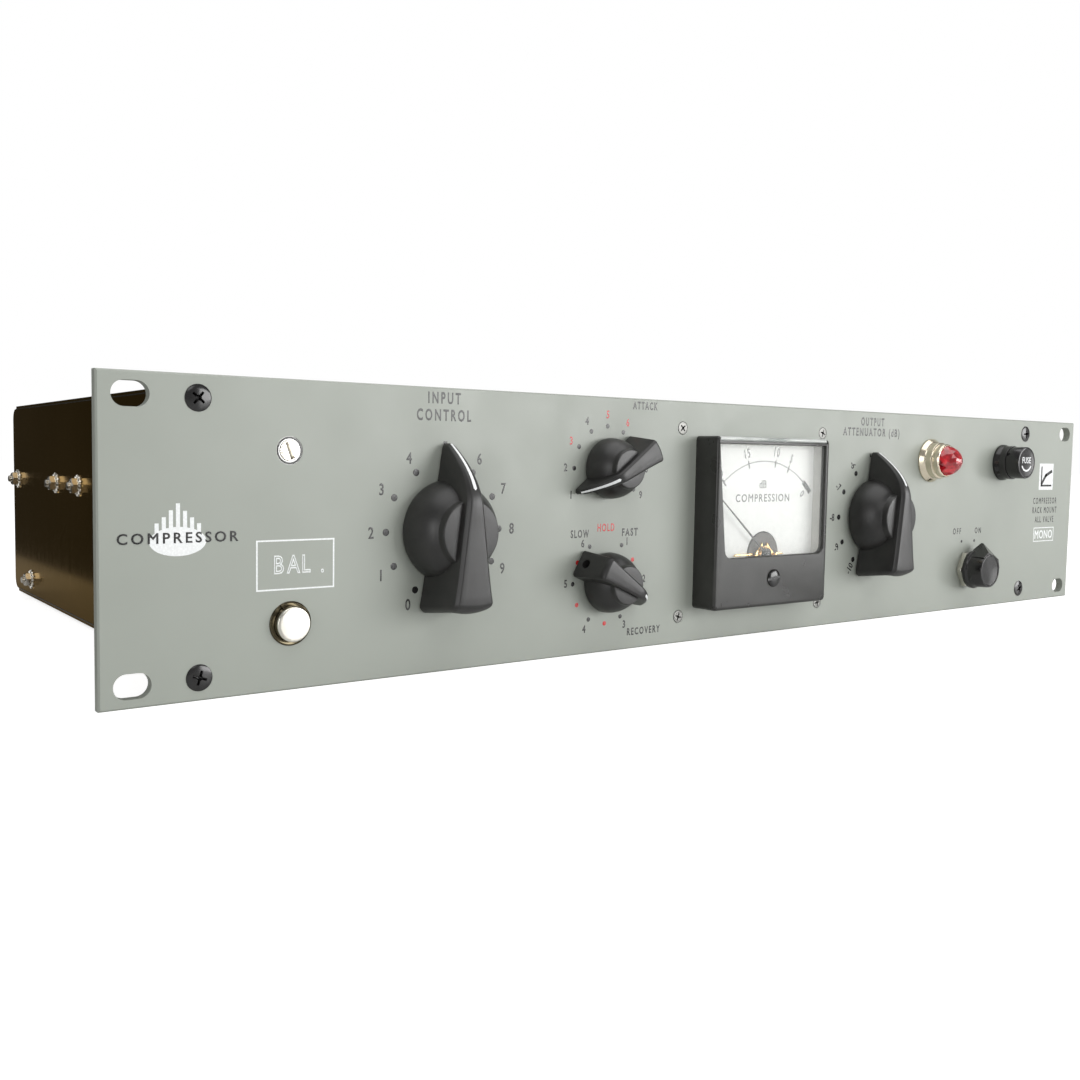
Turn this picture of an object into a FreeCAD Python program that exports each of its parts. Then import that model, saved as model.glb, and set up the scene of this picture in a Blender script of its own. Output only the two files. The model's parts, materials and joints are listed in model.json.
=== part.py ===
"""Rack compressor, two rack units high, as an assembly of separate pieces.

Millimetres, +Z up, +X to the right and +Y into the rack, as seen from the front.
The origin is the centre of the four rack slots on the panel's rear (mounting) face.
Heights named h below are measured forwards from the panel's front face.
"""
import FreeCAD, Part
import math
import os

from FreeCAD import Vector, Rotation, Placement

os.makedirs("parts", exist_ok=True)

# ---- driving dimensions ----
PANEL_W = 482.6          # 19 inch rack panel
PANEL_H = 88.1           # two rack units, less the usual clearance
PANEL_T = 3.2            # 1/8 inch plate
PANEL_EDGE = 0.5
SLOT_X = 232.55          # slot centre, each side of the middle
SLOT_Z = 38.1
SLOT_LENGTH = 10.0
SLOT_HEIGHT = 6.8

SHEET = 1.5              # chassis sheet
COVER_SHEET = 1.2
LEFT_X = -208.0          # outer face of the left side plate
RIGHT_X = 189.0          # outer face of the right side plate
CHASSIS_Z = 43.0         # half height over the covers
REAR_Y = 263.2           # rear end of the side plates
REAR_PLATE_Y = 258.5     # front face of the rear plate
COVER_END_Y = 256.0
REAR_LIP_Y = 246.0       # front edge of the rear plate's lips
FLANGE_W = 13.0          # front flanges of the side plates, turned outwards
LIP_W = 12.0             # lips that the covers are screwed to

SCREW_HEAD_R = 3.55
PANEL_SCREWS = [(-214.7, 37.65), (-214.7, -37.65), (195.6, 37.5), (195.6, -37.5)]

DECK_Z = -14.0           # underside of the inner deck
DECK_Y0 = 62.0
DECK_Y1 = 226.5          # the plate stops short of the sockets; its flanges run on
DECK_FLANGE_Y1 = 257.5
DECK_FLANGE_Z = (-40.2, 16.0)
SIDE_BOLTS = [(146.7, 9.6), (181.7, 9.6), (253.2, 9.6), (229.2, -35.0)]

FIT = 0.05               # radial clearance of a running shaft
SHAFT_R = 3.0
BUSHING_R = 4.75

# Rotary controls: x, z, direction of the pointer in degrees (0 right, 90 up).
INPUT = (-136.7, 0.1, 90.0)
OUTPUT = (76.2, 0.2, 90.0)
ATTACK = (-70.9, 19.6, 210.0)
RECOVERY = (-70.6, -19.6, -30.0)
POWER = (150.35, -25.7, 67.5)

BIG_KNOB = dict(tip=26.9, tail=26.4, dome_r=15.7, face_r=9.5, face_h=15.3, fin_h=18.0, ridge_u=12.0,
                base_half=9.4, top_half=7.0, nose_half=1.3, tail_lean=2.8, recess_r=8.2)
SMALL_KNOB = dict(tip=16.4, tail=15.3, dome_r=10.4, face_r=6.2, face_h=12.4, fin_h=14.6, ridge_u=7.6,
                  base_half=5.0, top_half=4.0, nose_half=0.9, tail_lean=1.6, recess_r=7.8)
KNOB_GAP = 0.8           # knob to panel
SET_SCREW_H = 4.6
SET_SCREW_R = 1.5

TRIMMER = (-188.35, 24.05)
TRIMMER_TILT = 110.0
BUTTON = (-188.1, -24.9)
BUTTON_CAP_R = 5.0
BUTTON_CAP_H = 2.8
BUTTON_TRAVEL = 2.2

METER_X = (-28.0, 34.5)
METER_Z = (-31.7, 31.7)
METER_H = 10.8
METER_BAR_Z = (28.9, 29.9)
METER_WINDOW = [(-26.6, 28.9), (-22.4, -12.7), (32.3, -12.7), (32.3, 28.9)]
METER_WALL = 2.0
METER_BARREL = (3.3, -4.0)
METER_BARREL_R = 20.5
METER_SCREWS = [(-35.05, 34.3), (-35.05, -34.3), (43.5, 34.3), (43.5, -34.3)]
PIVOT = (3.8, -12.5)
NEEDLE_R = 34.5
NEEDLE_ANGLE = 140.0
NEEDLE_H = 7.2
ZERO_SCREW = (3.8, -21.1)

LAMP = (118.5, 24.0)
FUSE = (176.4, 23.6)

INLET = (140.0, -8.0)    # rear panel: mains inlet, sockets
SOCKET_IN = (-110.0, -4.0)
SOCKET_OUT = (-40.0, -4.0)
SOCKET_BORE_R = 11.8

COVER_SCREWS = [(LEFT_X + 7, 18.0), (LEFT_X + 7, 128.0), (LEFT_X + 7, 234.0),
                (RIGHT_X - 7, 18.0), (RIGHT_X - 7, 128.0), (RIGHT_X - 7, 234.0),
                (-100.0, 252.0), (80.0, 252.0)]
VENT_ROWS = [(-95.0, 175.0), (-95.0, 205.0), (20.0, 175.0), (20.0, 205.0)]
VENTS_PER_ROW = 13
VENT_PITCH = 6.5

REAR_SCREWS = [(INLET[0] - 20, INLET[1]), (INLET[0] + 20, INLET[1])]
for socket_x, socket_z in (SOCKET_IN, SOCKET_OUT):
    REAR_SCREWS += [(socket_x - 9.5, socket_z + 12.0), (socket_x + 9.5, socket_z - 12.0)]

BOARD = (-92.0, 78.0, 120.0, 222.0)
BOARD_Z = -5.5
TUBES = [(-70.0, 190.0), (-30.0, 190.0), (10.0, 190.0), (50.0, 190.0)]


# ---- helpers ----
def front(h):
    """Y of a plane h in front of the panel's front face."""
    return -PANEL_T - h


def box(x0, x1, y0, y1, z0, z1):
    return Part.makeBox(x1 - x0, y1 - y0, z1 - z0, Vector(x0, y0, z0))


def cyl(x, z, r, y0, y1):
    """Cylinder along Y."""
    return Part.makeCylinder(r, y1 - y0, Vector(x, y0, z), Vector(0, 1, 0))


def cone(x, z, r0, r1, y0, y1):
    """Cone along Y, radius r0 at y0 and r1 at y1."""
    return Part.makeCone(r0, r1, y1 - y0, Vector(x, y0, z), Vector(0, 1, 0))


def upright(x, y, r, z0, z1):
    """Cylinder along Z."""
    return Part.makeCylinder(r, z1 - z0, Vector(x, y, z0), Vector(0, 0, 1))


def ring(x, z, r_out, r_in, y0, y1):
    return cyl(x, z, r_out, y0, y1).cut(cyl(x, z, r_in, y0 - 1, y1 + 1))


def hexagon(x, z, across, y0, y1):
    """Hexagonal prism along Y."""
    r = across / math.sqrt(3)
    corners = [Vector(x + r * math.cos(math.radians(60 * k)), y0,
                      z + r * math.sin(math.radians(60 * k))) for k in range(6)]
    return Part.Face(Part.makePolygon(corners + corners[:1])).extrude(Vector(0, y1 - y0, 0))


def all_fused(shapes):
    return shapes[0].multiFuse(shapes[1:]).removeSplitter()


def cut_all(shape, tools):
    return shape.cut(Part.makeCompound(tools))


def lathe(x, z, profile):
    """Solid of revolution about the Y line through (x, z); profile points are (radius, y)."""
    points = [Vector(x + r, y, z) for r, y in profile]
    face = Part.Face(Part.makePolygon(points + points[:1]))
    return face.revolve(Vector(x, 0, z), Vector(0, 1, 0), 360)


def aim(shape, x, z, degrees):
    """Turn a shape built with its nose along +X to the given direction, and put it at (x, z)."""
    shape.Placement = Placement(Vector(x, 0, z), Rotation(Vector(0, 1, 0), -degrees))
    return shape


def save(name, shapes):
    """Write one node: a solid, or several separate solids."""
    solids = []
    for shape in shapes if isinstance(shapes, list) else [shapes]:
        solids += shape.Solids
    whole = solids[0] if len(solids) == 1 else Part.makeCompound(solids)
    if not whole.isValid():
        raise ValueError(name + " is not a valid shape")
    whole.exportStep("parts/" + name + ".step")


# ---- panel and chassis ----
def screw(x, z, y_head, length, shank_r, sunk=1.8):
    """Countersunk screw with a raised head, running in from the front; its rim is at y_head."""
    crown = lathe(x, z, [(0, y_head - 0.9), (SCREW_HEAD_R * 0.55, y_head - 0.75),
                         (SCREW_HEAD_R, y_head), (shank_r, y_head + sunk), (shank_r, y_head + length),
                         (0, y_head + length)])
    return crown.cut(cross(x, z, y_head - 1.2, y_head + 0.9, 2.0, 0.45))


def cross(x, z, y0, y1, reach, half):
    return box(x - reach, x + reach, y0, y1, z - half, z + half).fuse(
        box(x - half, x + half, y0, y1, z - reach, z + reach))


def rack_slot(x, z):
    straight = (SLOT_LENGTH - SLOT_HEIGHT) / 2
    r = SLOT_HEIGHT / 2
    return all_fused([box(x - straight, x + straight, -PANEL_T - 1, 1, z - r, z + r),
                      cyl(x - straight, z, r, -PANEL_T - 1, 1), cyl(x + straight, z, r, -PANEL_T - 1, 1)])


def make_front_panel():
    panel = box(-PANEL_W / 2, PANEL_W / 2, -PANEL_T, 0, -PANEL_H / 2, PANEL_H / 2)
    rim = [e for e in panel.Edges if all(abs(v.Y + PANEL_T) < 1e-6 for v in e.Vertexes)]
    panel = panel.makeChamfer(PANEL_EDGE, rim)
    tools = [rack_slot(sx * SLOT_X, sz * SLOT_Z) for sx in (-1, 1) for sz in (-1, 1)]
    for x, z in PANEL_SCREWS:
        tools.append(cyl(x, z, 2.1, -PANEL_T - 1, 1))
        tools.append(cone(x, z, SCREW_HEAD_R + 0.05, 2.1, -PANEL_T, -PANEL_T + 1.9))
    for x, z in METER_SCREWS:
        tools.append(cyl(x, z, 1.4, -PANEL_T - 1, 1))
        tools.append(cone(x, z, 2.45, 1.4, -PANEL_T, -PANEL_T + 1.3))
    for x, z, _ in (INPUT, OUTPUT, ATTACK, RECOVERY, POWER):
        tools.append(cyl(x, z, BUSHING_R + 0.1, -PANEL_T - 1, 1))
    for (x, z), r in ((TRIMMER, 4.0), (BUTTON, 6.4), (LAMP, 6.5), (FUSE, 6.4), (METER_BARREL, 21.0)):
        tools.append(cyl(x, z, r, -PANEL_T - 1, 1))
    save("front_panel", cut_all(panel, tools))


def make_panel_screws():
    solids = []
    for x, z in PANEL_SCREWS:
        solids.append(screw(x, z, -PANEL_T, 11.0, 2.0))
        solids.append(hexagon(x, z, 7.0, SHEET, SHEET + 2.4).cut(cyl(x, z, 2.0, 0, 5)))
    save("panel_screws", solids)


def side_plate(outer_x, inward):
    """Side plate with an outward front flange and inward lips under the covers."""
    top = CHASSIS_Z - COVER_SHEET
    inner_x = outer_x + inward * SHEET
    plate = box(min(outer_x, inner_x), max(outer_x, inner_x), 0, REAR_Y, -top, top)
    corners = [e for e in plate.Edges if all(abs(v.Y - REAR_Y) < 1e-6 for v in e.Vertexes)
               and e.Vertexes[0].Z == e.Vertexes[1].Z]
    plate = plate.makeFillet(5.0, corners)
    flange_x = sorted((outer_x - inward * (FLANGE_W - SHEET), inner_x))
    pieces = [plate, box(flange_x[0], flange_x[1], 0, SHEET, -top, top)]
    lip_x = sorted((outer_x, outer_x + inward * LIP_W))
    for z in (-top, top - SHEET):
        pieces.append(box(lip_x[0], lip_x[1], 0, REAR_LIP_Y - 2, z, z + SHEET))
    return all_fused(pieces)


def make_side_plates():
    plates = {"left_side_plate": (LEFT_X, 1), "right_side_plate": (RIGHT_X, -1)}
    for name, (outer_x, inward) in plates.items():
        plate = side_plate(outer_x, inward)
        tools = [cyl(x, z, 2.0, -1, 3) for x, z in PANEL_SCREWS]
        for y, z in SIDE_BOLTS:
            tools.append(Part.makeCylinder(1.6, 10, Vector(outer_x - 5, y, z), Vector(1, 0, 0)))
        for x, y in COVER_SCREWS:
            tools.append(upright(x, y, 1.3, -CHASSIS_Z, CHASSIS_Z))
        save(name, cut_all(plate, tools))


def vent_slots(z0, z1):
    slots = []
    for x, y in VENT_ROWS:
        for k in range(VENTS_PER_ROW):
            cx = x + k * VENT_PITCH
            slots.append(box(cx - 1.4, cx + 1.4, y - 9, y + 9, z0, z1))
    return slots


def make_covers():
    inner = CHASSIS_Z - COVER_SHEET
    for name, z0 in (("top_cover", inner), ("bottom_cover", -CHASSIS_Z)):
        cover = box(LEFT_X, RIGHT_X, 1.0, COVER_END_Y, z0, z0 + COVER_SHEET)
        tools = [upright(x, y, 1.6, z0 - 1, z0 + 3) for x, y in COVER_SCREWS]
        save(name, cut_all(cover, tools + vent_slots(z0 - 1, z0 + 3)))
    screws = []
    for x, y in COVER_SCREWS:
        for side in (1, -1):
            head = upright(x, y, 2.8, CHASSIS_Z, CHASSIS_Z + 1.0)
            head = head.makeFillet(0.6, [e for e in head.Edges if abs(e.CenterOfMass.z - CHASSIS_Z - 1) < 0.01])
            shank = upright(x, y, 1.25, CHASSIS_Z - 7, CHASSIS_Z)
            slot = box(x - 0.35, x + 0.35, y - 1.5, y + 1.5, CHASSIS_Z + 0.5, CHASSIS_Z + 2)
            slot = slot.fuse(box(x - 1.5, x + 1.5, y - 0.35, y + 0.35, CHASSIS_Z + 0.5, CHASSIS_Z + 2))
            one = head.fuse(shank).cut(slot)
            screws.append(one if side > 0 else one.mirror(Vector(0, 0, 0), Vector(0, 0, 1)))
    save("cover_screws", screws)


def make_rear_plate():
    top = CHASSIS_Z - COVER_SHEET
    x0 = LEFT_X + SHEET
    x1 = RIGHT_X - SHEET
    pieces = [box(x0, x1, REAR_PLATE_Y, REAR_PLATE_Y + SHEET, -top, top)]
    for z in (-top, top - SHEET):
        pieces.append(box(x0, x1, REAR_LIP_Y, REAR_PLATE_Y + SHEET, z, z + SHEET))
    tools = [cyl(x, z, SOCKET_BORE_R + 0.2, REAR_PLATE_Y - 1, REAR_Y) for x, z in (SOCKET_IN, SOCKET_OUT)]
    x, z = INLET
    tools.append(box(x - 13.9, x + 13.9, REAR_PLATE_Y - 1, REAR_Y, z - 10.4, z + 10.4))
    x, z = SOCKET_IN
    tools.append(box(x - 4.4, x + 4.4, REAR_PLATE_Y - 1, REAR_Y, z + 9.5, z + 14.4))
    for x, z in REAR_SCREWS:
        tools.append(cyl(x, z, 1.5, REAR_PLATE_Y - 1, REAR_Y))
    for x, y in COVER_SCREWS:
        tools.append(upright(x, y, 1.3, -CHASSIS_Z, CHASSIS_Z))
    save("rear_plate", cut_all(all_fused(pieces), tools))


def make_inner_deck():
    x0 = LEFT_X + SHEET
    x1 = RIGHT_X - SHEET
    z0, z1 = DECK_FLANGE_Z
    pieces = [box(x0, x1, DECK_Y0, DECK_Y1, DECK_Z, DECK_Z + SHEET),
              box(x0, x0 + SHEET, DECK_Y0, DECK_FLANGE_Y1, z0, z1),
              box(x1 - SHEET, x1, DECK_Y0, DECK_FLANGE_Y1, z0, z1)]
    tools = [Part.makeCylinder(1.6, PANEL_W, Vector(LEFT_X - 5, y, z), Vector(1, 0, 0))
             for y, z in SIDE_BOLTS]
    save("inner_deck", cut_all(all_fused(pieces), tools))


def make_side_fasteners():
    """Bolt from inside, star washer and hexagon nut outside, on both side plates."""
    solids = []
    for outer_x, inward in ((LEFT_X, 1), (RIGHT_X, -1)):
        for y, z in SIDE_BOLTS:
            stack = []
            turn = Rotation(Vector(0, 0, 1), -90 * inward)
            bolt = cyl(0, 0, 1.5, -5.5, 2 * SHEET).fuse(cyl(0, 0, 2.8, 2 * SHEET, 2 * SHEET + 2))
            stack.append(bolt)
            stack.append(ring(0, 0, 3.9, 1.5, -0.8, 0))
            stack.append(hexagon(0, 0, 5.5, -3.2, -0.8).cut(cyl(0, 0, 1.5, -4, 1)))
            for solid in stack:
                solid.Placement = Placement(Vector(outer_x, y, z), turn)
                solids.append(solid)
    save("side_fasteners", solids)


# ---- rotary controls ----
def fin_outline(k, h, half_tail, half_nose, lean):
    """Wire of the fin's plan at height h: straight sides and a bowed tail."""
    y = front(h)
    tail = -(k["tail"] - lean)
    nose = k["tip"]
    bow = 0.8 * half_tail / k["base_half"]
    p0 = Vector(nose, y, half_nose)
    p1 = Vector(tail + bow, y, half_tail)
    p2 = Vector(tail, y, 0)
    p3 = Vector(tail + bow, y, -half_tail)
    p4 = Vector(nose, y, -half_nose)
    edges = [Part.makeLine(p0, p1), Part.Arc(p1, p2, p3).toShape(), Part.makeLine(p3, p4), Part.makeLine(p4, p0)]
    return Part.Wire(edges)


def fin(k):
    """The finger bar, nose along +X: a drafted plan cut to a side profile with a curved nose ridge."""
    reach = k["tip"] - k["ridge_u"]
    nose_top_half = k["top_half"] - (k["top_half"] / k["tail"]) * k["tip"] * 0.9
    plan = Part.makeLoft([fin_outline(k, KNOB_GAP, k["base_half"], k["nose_half"], 0),
                          fin_outline(k, k["fin_h"], k["top_half"], max(nose_top_half, 0.5), k["tail_lean"])],
                         True, True)
    tail_round = 2.0
    p0 = Vector(-k["tail"] - 1, front(KNOB_GAP), 0)
    p1 = Vector(-k["tail"] - 1, front(k["fin_h"] - tail_round), 0)
    p1b = Vector(-k["tail"] + k["tail_lean"], front(k["fin_h"] - tail_round), 0)
    p2 = Vector(-k["tail"] + k["tail_lean"] + tail_round, front(k["fin_h"]), 0)
    bend = Vector(-k["tail"] + k["tail_lean"] + 0.6, front(k["fin_h"] - 0.6), 0)
    p3 = Vector(k["ridge_u"], front(k["fin_h"]), 0)
    mid = Vector(k["ridge_u"] + 0.52 * reach, front(3.5 + 0.62 * (k["fin_h"] - 3.5)), 0)
    p4 = Vector(k["tip"], front(3.0), 0)
    p5 = Vector(k["tip"], front(KNOB_GAP), 0)
    edges = [Part.makeLine(p0, p1), Part.makeLine(p1, p1b), Part.Arc(p1b, bend, p2).toShape(),
             Part.makeLine(p2, p3), Part.Arc(p3, mid, p4).toShape(), Part.makeLine(p4, p5),
             Part.makeLine(p5, p0)]
    side = Part.Face(Part.Wire(edges))
    width = 2 * k["base_half"] + 4
    side.translate(Vector(0, 0, -width / 2))
    return plan.common(side.extrude(Vector(0, 0, width)))


def dome(k):
    """Round skirt that rises to a flat face."""
    shoulder = 3.0
    a = Vector(0, front(KNOB_GAP), 0)
    b = Vector(k["dome_r"], front(KNOB_GAP), 0)
    c = Vector(k["dome_r"] - 0.4, front(4.0), 0)
    d = Vector(k["face_r"] + shoulder * 0.9, front(k["face_h"] - shoulder * 0.8), 0)
    e = Vector(k["face_r"] + shoulder * 0.35, front(k["face_h"] - 0.35), 0)
    f = Vector(k["face_r"] - 0.5, front(k["face_h"]), 0)
    g = Vector(0, front(k["face_h"]), 0)
    edges = [Part.makeLine(a, b), Part.makeLine(b, c), Part.makeLine(c, d), Part.Arc(d, e, f).toShape(),
             Part.makeLine(f, g), Part.makeLine(g, a)]
    return Part.Face(Part.Wire(edges)).revolve(Vector(0, 0, 0), Vector(0, 1, 0), 360)


def make_pointer_control(prefix, body_name, place, k, body_r, body_depth):
    """Knob, set screw, shaft and the switch or attenuator behind the panel."""
    x, z, direction = place
    knob = all_fused([dome(k), fin(k)])
    hole = Part.makeCylinder(SET_SCREW_R, k["tail"] + 2, Vector(0, front(SET_SCREW_H), 0), Vector(-1, 0, 0))
    knob = cut_all(knob, [cyl(0, 0, k["recess_r"], front(3.0), front(0)),
                          cyl(0, 0, SHAFT_R, front(10.5), front(0)), hole])
    save(prefix + "_knob", aim(knob, x, z, direction))
    tip = Part.makeCylinder(SET_SCREW_R, 5.0, Vector(-SHAFT_R, front(SET_SCREW_H), 0), Vector(-1, 0, 0))
    socket = Part.makeCylinder(0.75, 2.0, Vector(-SHAFT_R - 3.2, front(SET_SCREW_H), 0), Vector(-1, 0, 0))
    save(prefix + "_set_screw", aim(tip.cut(socket), x, z, direction))
    save(prefix + "_shaft", cyl(x, z, SHAFT_R, front(10.4), body_depth - 2))
    body = all_fused([cyl(x, z, BUSHING_R, front(2.9), 0), cyl(x, z, body_r, 0, 9),
                      cyl(x, z, body_r - 5, 9, body_depth - 8), cyl(x, z, body_r, body_depth - 8, body_depth)])
    save(body_name, body.cut(cyl(x, z, SHAFT_R + FIT, front(4), body_depth + 1)))


def make_power_control():
    x, z, direction = POWER
    skirt = cyl(0, 0, 8.7, front(5.6), front(3.0))
    barrel = cone(0, 0, 7.4, 7.7, front(11.6), front(5.6))
    base, top, reach, half = front(3.0), front(11.2), 13.0, 6.6
    plan = [Vector(reach, base, 0), Vector(5.0, base, half), Vector(5.0, base, -half)]
    plan = Part.Face(Part.makePolygon(plan + plan[:1])).extrude(Vector(0, top - base, 0))
    side = [Vector(0, base, -half), Vector(9.0, base, -half), Vector(reach, front(4.2), -half),
            Vector(7.2, top, -half), Vector(0, top, -half)]
    side = Part.Face(Part.makePolygon(side + side[:1])).extrude(Vector(0, 0, 2 * half))
    knob = all_fused([skirt, barrel, plan.common(side)]).cut(cyl(0, 0, SHAFT_R, front(9.5), front(2)))
    save("power_knob", aim(knob, x, z, direction))
    save("power_shaft", cyl(x, z, SHAFT_R, front(9.4), 16))
    body = cyl(x, z, BUSHING_R, front(2.7), 0).fuse(box(x - 14, x + 14, 0, 24, z - 13, z + 13))
    tags = [box(x - 10 + 8 * i, x - 7 + 8 * i, 24, 31, z - 0.4, z + 0.4) for i in range(3)]
    body = all_fused([body] + tags)
    save("power_switch", body.cut(cyl(x, z, SHAFT_R + FIT, front(4), 17)))


def make_control_nuts():
    """Lock nuts on the bushings, in front of the panel, with their washers."""
    solids = []
    for x, z, _ in (INPUT, OUTPUT, ATTACK, RECOVERY):
        solids.append(ring(x, z, 6.9, BUSHING_R, front(0.5), front(0)))
        solids.append(hexagon(x, z, 12.6, front(2.6), front(0.5)).cut(cyl(x, z, BUSHING_R, front(3), front(0))))
    x, z, _ = POWER
    solids.append(ring(x, z, 7.6, BUSHING_R, front(0.4), front(0)))
    solids.append(hexagon(x, z, 15.0, front(2.7), front(0.4)).cut(cyl(x, z, BUSHING_R, front(3), front(0))))
    save("control_nuts", solids)


def make_trimmer():
    x, z = TRIMMER
    shaft = cyl(0, 0, SHAFT_R, front(0.2), 8)
    shaft = shaft.cut(box(-4, 4, front(0.3), front(-1.4), -0.55, 0.55))
    save("trimmer_shaft", aim(shaft, x, z, TRIMMER_TILT))
    body = cyl(x, z, 3.95, -3.0, 0).fuse(cyl(x, z, 9.0, 0, 11))
    save("trimmer_body", body.cut(cyl(x, z, SHAFT_R + FIT, -4, 9)))


def make_balance_button():
    x, z = BUTTON
    bore = BUTTON_CAP_R + FIT
    stem_r = 1.5
    cap = cyl(x, z, BUTTON_CAP_R, front(BUTTON_CAP_H), -1.0)
    cap = cap.makeFillet(0.35, [e for e in cap.Edges if abs(e.CenterOfMass.y - front(BUTTON_CAP_H)) < 0.01])
    save("button_cap", all_fused([cap, cyl(x, z, stem_r, -1.0, 11.0)]))
    bushing = all_fused([cyl(x, z, 6.35, front(0.4), 8), cyl(x, z, 8.5, 0, 2.5)])
    bushing = cut_all(bushing, [cyl(x, z, bore, front(1), 6.0), cyl(x, z, stem_r + FIT, 5, 9),
                                box(x - 7, x + 7, front(1), front(-1.0), z - 0.6, z + 0.6)])
    save("button_bushing", bushing)
    spring = [ring(x, z, 3.6, 2.9, -1.0 + 1.4 * i, -0.3 + 1.4 * i) for i in range(5)]
    links = [box(x + side * 3.25 - 0.3, x + side * 3.25 + 0.3, -0.3 + 1.4 * i, 0.4 + 1.4 * i, z - 0.3, z + 0.3)
             for i, side in enumerate((1, -1, 1, -1))]
    end = ring(x, z, 3.6, 2.9, 5.3, 6.0)
    links.append(box(x + 2.95, x + 3.55, 4.9, 5.6, z - 0.3, z + 0.3))
    save("button_spring", all_fused(spring[:-1] + [ring(x, z, 3.6, 2.9, 4.2, 4.9), end] + links))
    block = all_fused([box(x - 7.5, x + 7.5, 8, 22, z - 6, z + 6),
                       box(x - 4.4, x - 3.4, 22, 27, z - 1.5, z + 1.5),
                       box(x + 3.4, x + 4.4, 22, 27, z - 1.5, z + 1.5)])
    save("button_contact_block", block.cut(cyl(x, z, stem_r + 0.5, 7, 15)))


# ---- meter ----
def make_meter_case():
    x0, x1 = METER_X
    z0 = METER_Z[0]
    z1 = METER_BAR_Z[1]
    w = METER_WALL
    shell = box(x0, x1, front(METER_H), front(0), z0, z1)
    upright_edges = [e for e in shell.Edges if abs(e.Vertexes[0].Y - e.Vertexes[1].Y) > 1
                     and e.CenterOfMass.z < 0]
    shell = shell.makeFillet(1.5, upright_edges)
    bx, bz = METER_BARREL
    corners = [Vector(x, front(METER_H + 1), z) for x, z in METER_WINDOW]
    window = Part.Face(Part.makePolygon(corners + corners[:1])).extrude(Vector(0, 3, 0))
    low = [e for e in window.Edges if abs(e.CenterOfMass.z + 12.7) < 0.1
           and abs(e.Vertexes[0].Y - e.Vertexes[1].Y) > 1]
    window = window.makeFillet(3.0, low)
    cavity = all_fused([box(x0 + w, x1 - w, front(METER_H - 2.2), front(1.5), z0 + w, z1 + 1),
                        box(x0 + w, x1 - w, front(METER_H - 1.0), front(3), -14.8, z1 + 1)])
    barrel = ring(bx, bz, METER_BARREL_R, METER_BARREL_R - 1.5, front(0), 20)
    barrel = barrel.fuse(cyl(bx, bz, METER_BARREL_R, 20, 21.5))
    shell = cut_all(shell, [cavity, window, cyl(bx, bz, METER_BARREL_R - 1.5, front(2), front(-1)),
                            cyl(ZERO_SCREW[0], ZERO_SCREW[1], 1.5 + FIT, front(12), front(7))])
    save("meter_case", all_fused([shell, barrel]))
    pane = box(x0 + w, x1 - w, front(METER_H - 1.0), front(METER_H - 2.2), -14.6, z1)
    strip = box(x0, x1, front(METER_H), front(0), z1, METER_Z[1])
    strip = strip.makeFillet(1.2, [e for e in strip.Edges
                                   if abs(e.CenterOfMass.z - METER_Z[1]) < 0.01
                                   and abs(e.CenterOfMass.y - front(METER_H)) < 0.01])
    save("meter_window", all_fused([pane, strip]))


def make_meter_works():
    px, pz = PIVOT
    w = METER_WALL
    dial = box(METER_X[0] + w + 0.3, METER_X[1] - w - 0.3, front(5.0), front(4.2), METER_Z[0] + w + 0.3, 29.4)
    notch = cyl(px, pz, 8.7, front(6), front(3)).common(box(px - 9, px + 9, front(6), front(3), pz - 9, pz + 9))
    save("meter_dial", dial.cut(notch))
    movement = all_fused([cyl(METER_BARREL[0], METER_BARREL[1], 18.5, 0, 16), cyl(px, pz, 6.5, front(2.5), 0),
                          box(px - 8.0, px + 8.0, front(4.0), front(1.0), pz - 3, pz + 3)])
    save("meter_movement", movement.cut(cyl(px, pz, 0.5 + FIT, front(6), 8)))
    hub = cyl(0, 0, 2.6, front(NEEDLE_H + 0.6), front(NEEDLE_H - 0.6))
    axle = cyl(0, 0, 0.5, front(NEEDLE_H + 1.0), 6)
    arm = box(0, NEEDLE_R, front(NEEDLE_H + 0.25), front(NEEDLE_H - 0.25), -0.3, 0.3)
    tail = box(-6.0, 0, front(NEEDLE_H + 0.4), front(NEEDLE_H - 0.4), -1.2, 1.2)
    save("meter_needle", aim(all_fused([hub, axle, arm, tail]), px, pz, NEEDLE_ANGLE))
    x, z = ZERO_SCREW
    head = lathe(x, z, [(0, front(METER_H + 1.9)), (1.7, front(METER_H + 1.6)), (2.8, front(METER_H + 0.9)),
                        (3.4, front(METER_H + 0.05)), (1.5, front(METER_H + 0.05)),
                        (1.5, front(METER_H - 4.0)), (0, front(METER_H - 4.0))])
    slot = box(x - 0.45, x + 0.45, front(METER_H + 2.5), front(METER_H + 0.8), z - 4, z + 4)
    save("meter_zero_screw", head.cut(slot))
    screws = []
    for sx, sz in METER_SCREWS:
        body = lathe(sx, sz, [(0, front(0)), (2.4, front(0)), (1.35, front(-1.3)), (1.35, 8), (0, 8)])
        screws.append(body.cut(cross(sx, sz, front(1), front(-0.8), 1.4, 0.35)))
    save("meter_screws", screws)
    xs = [p[0] for p in METER_SCREWS]
    zs = [p[1] for p in METER_SCREWS]
    frame = box(min(xs) - 5, max(xs) + 5, 0, 3.0, min(zs) - 5, max(zs) + 5)
    tools = [cyl(sx, sz, 1.35, -1, 4) for sx, sz in METER_SCREWS]
    tools.append(cyl(METER_BARREL[0], METER_BARREL[1], METER_BARREL_R + 0.02, -1, 4))
    save("meter_bracket", cut_all(frame, tools))


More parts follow.
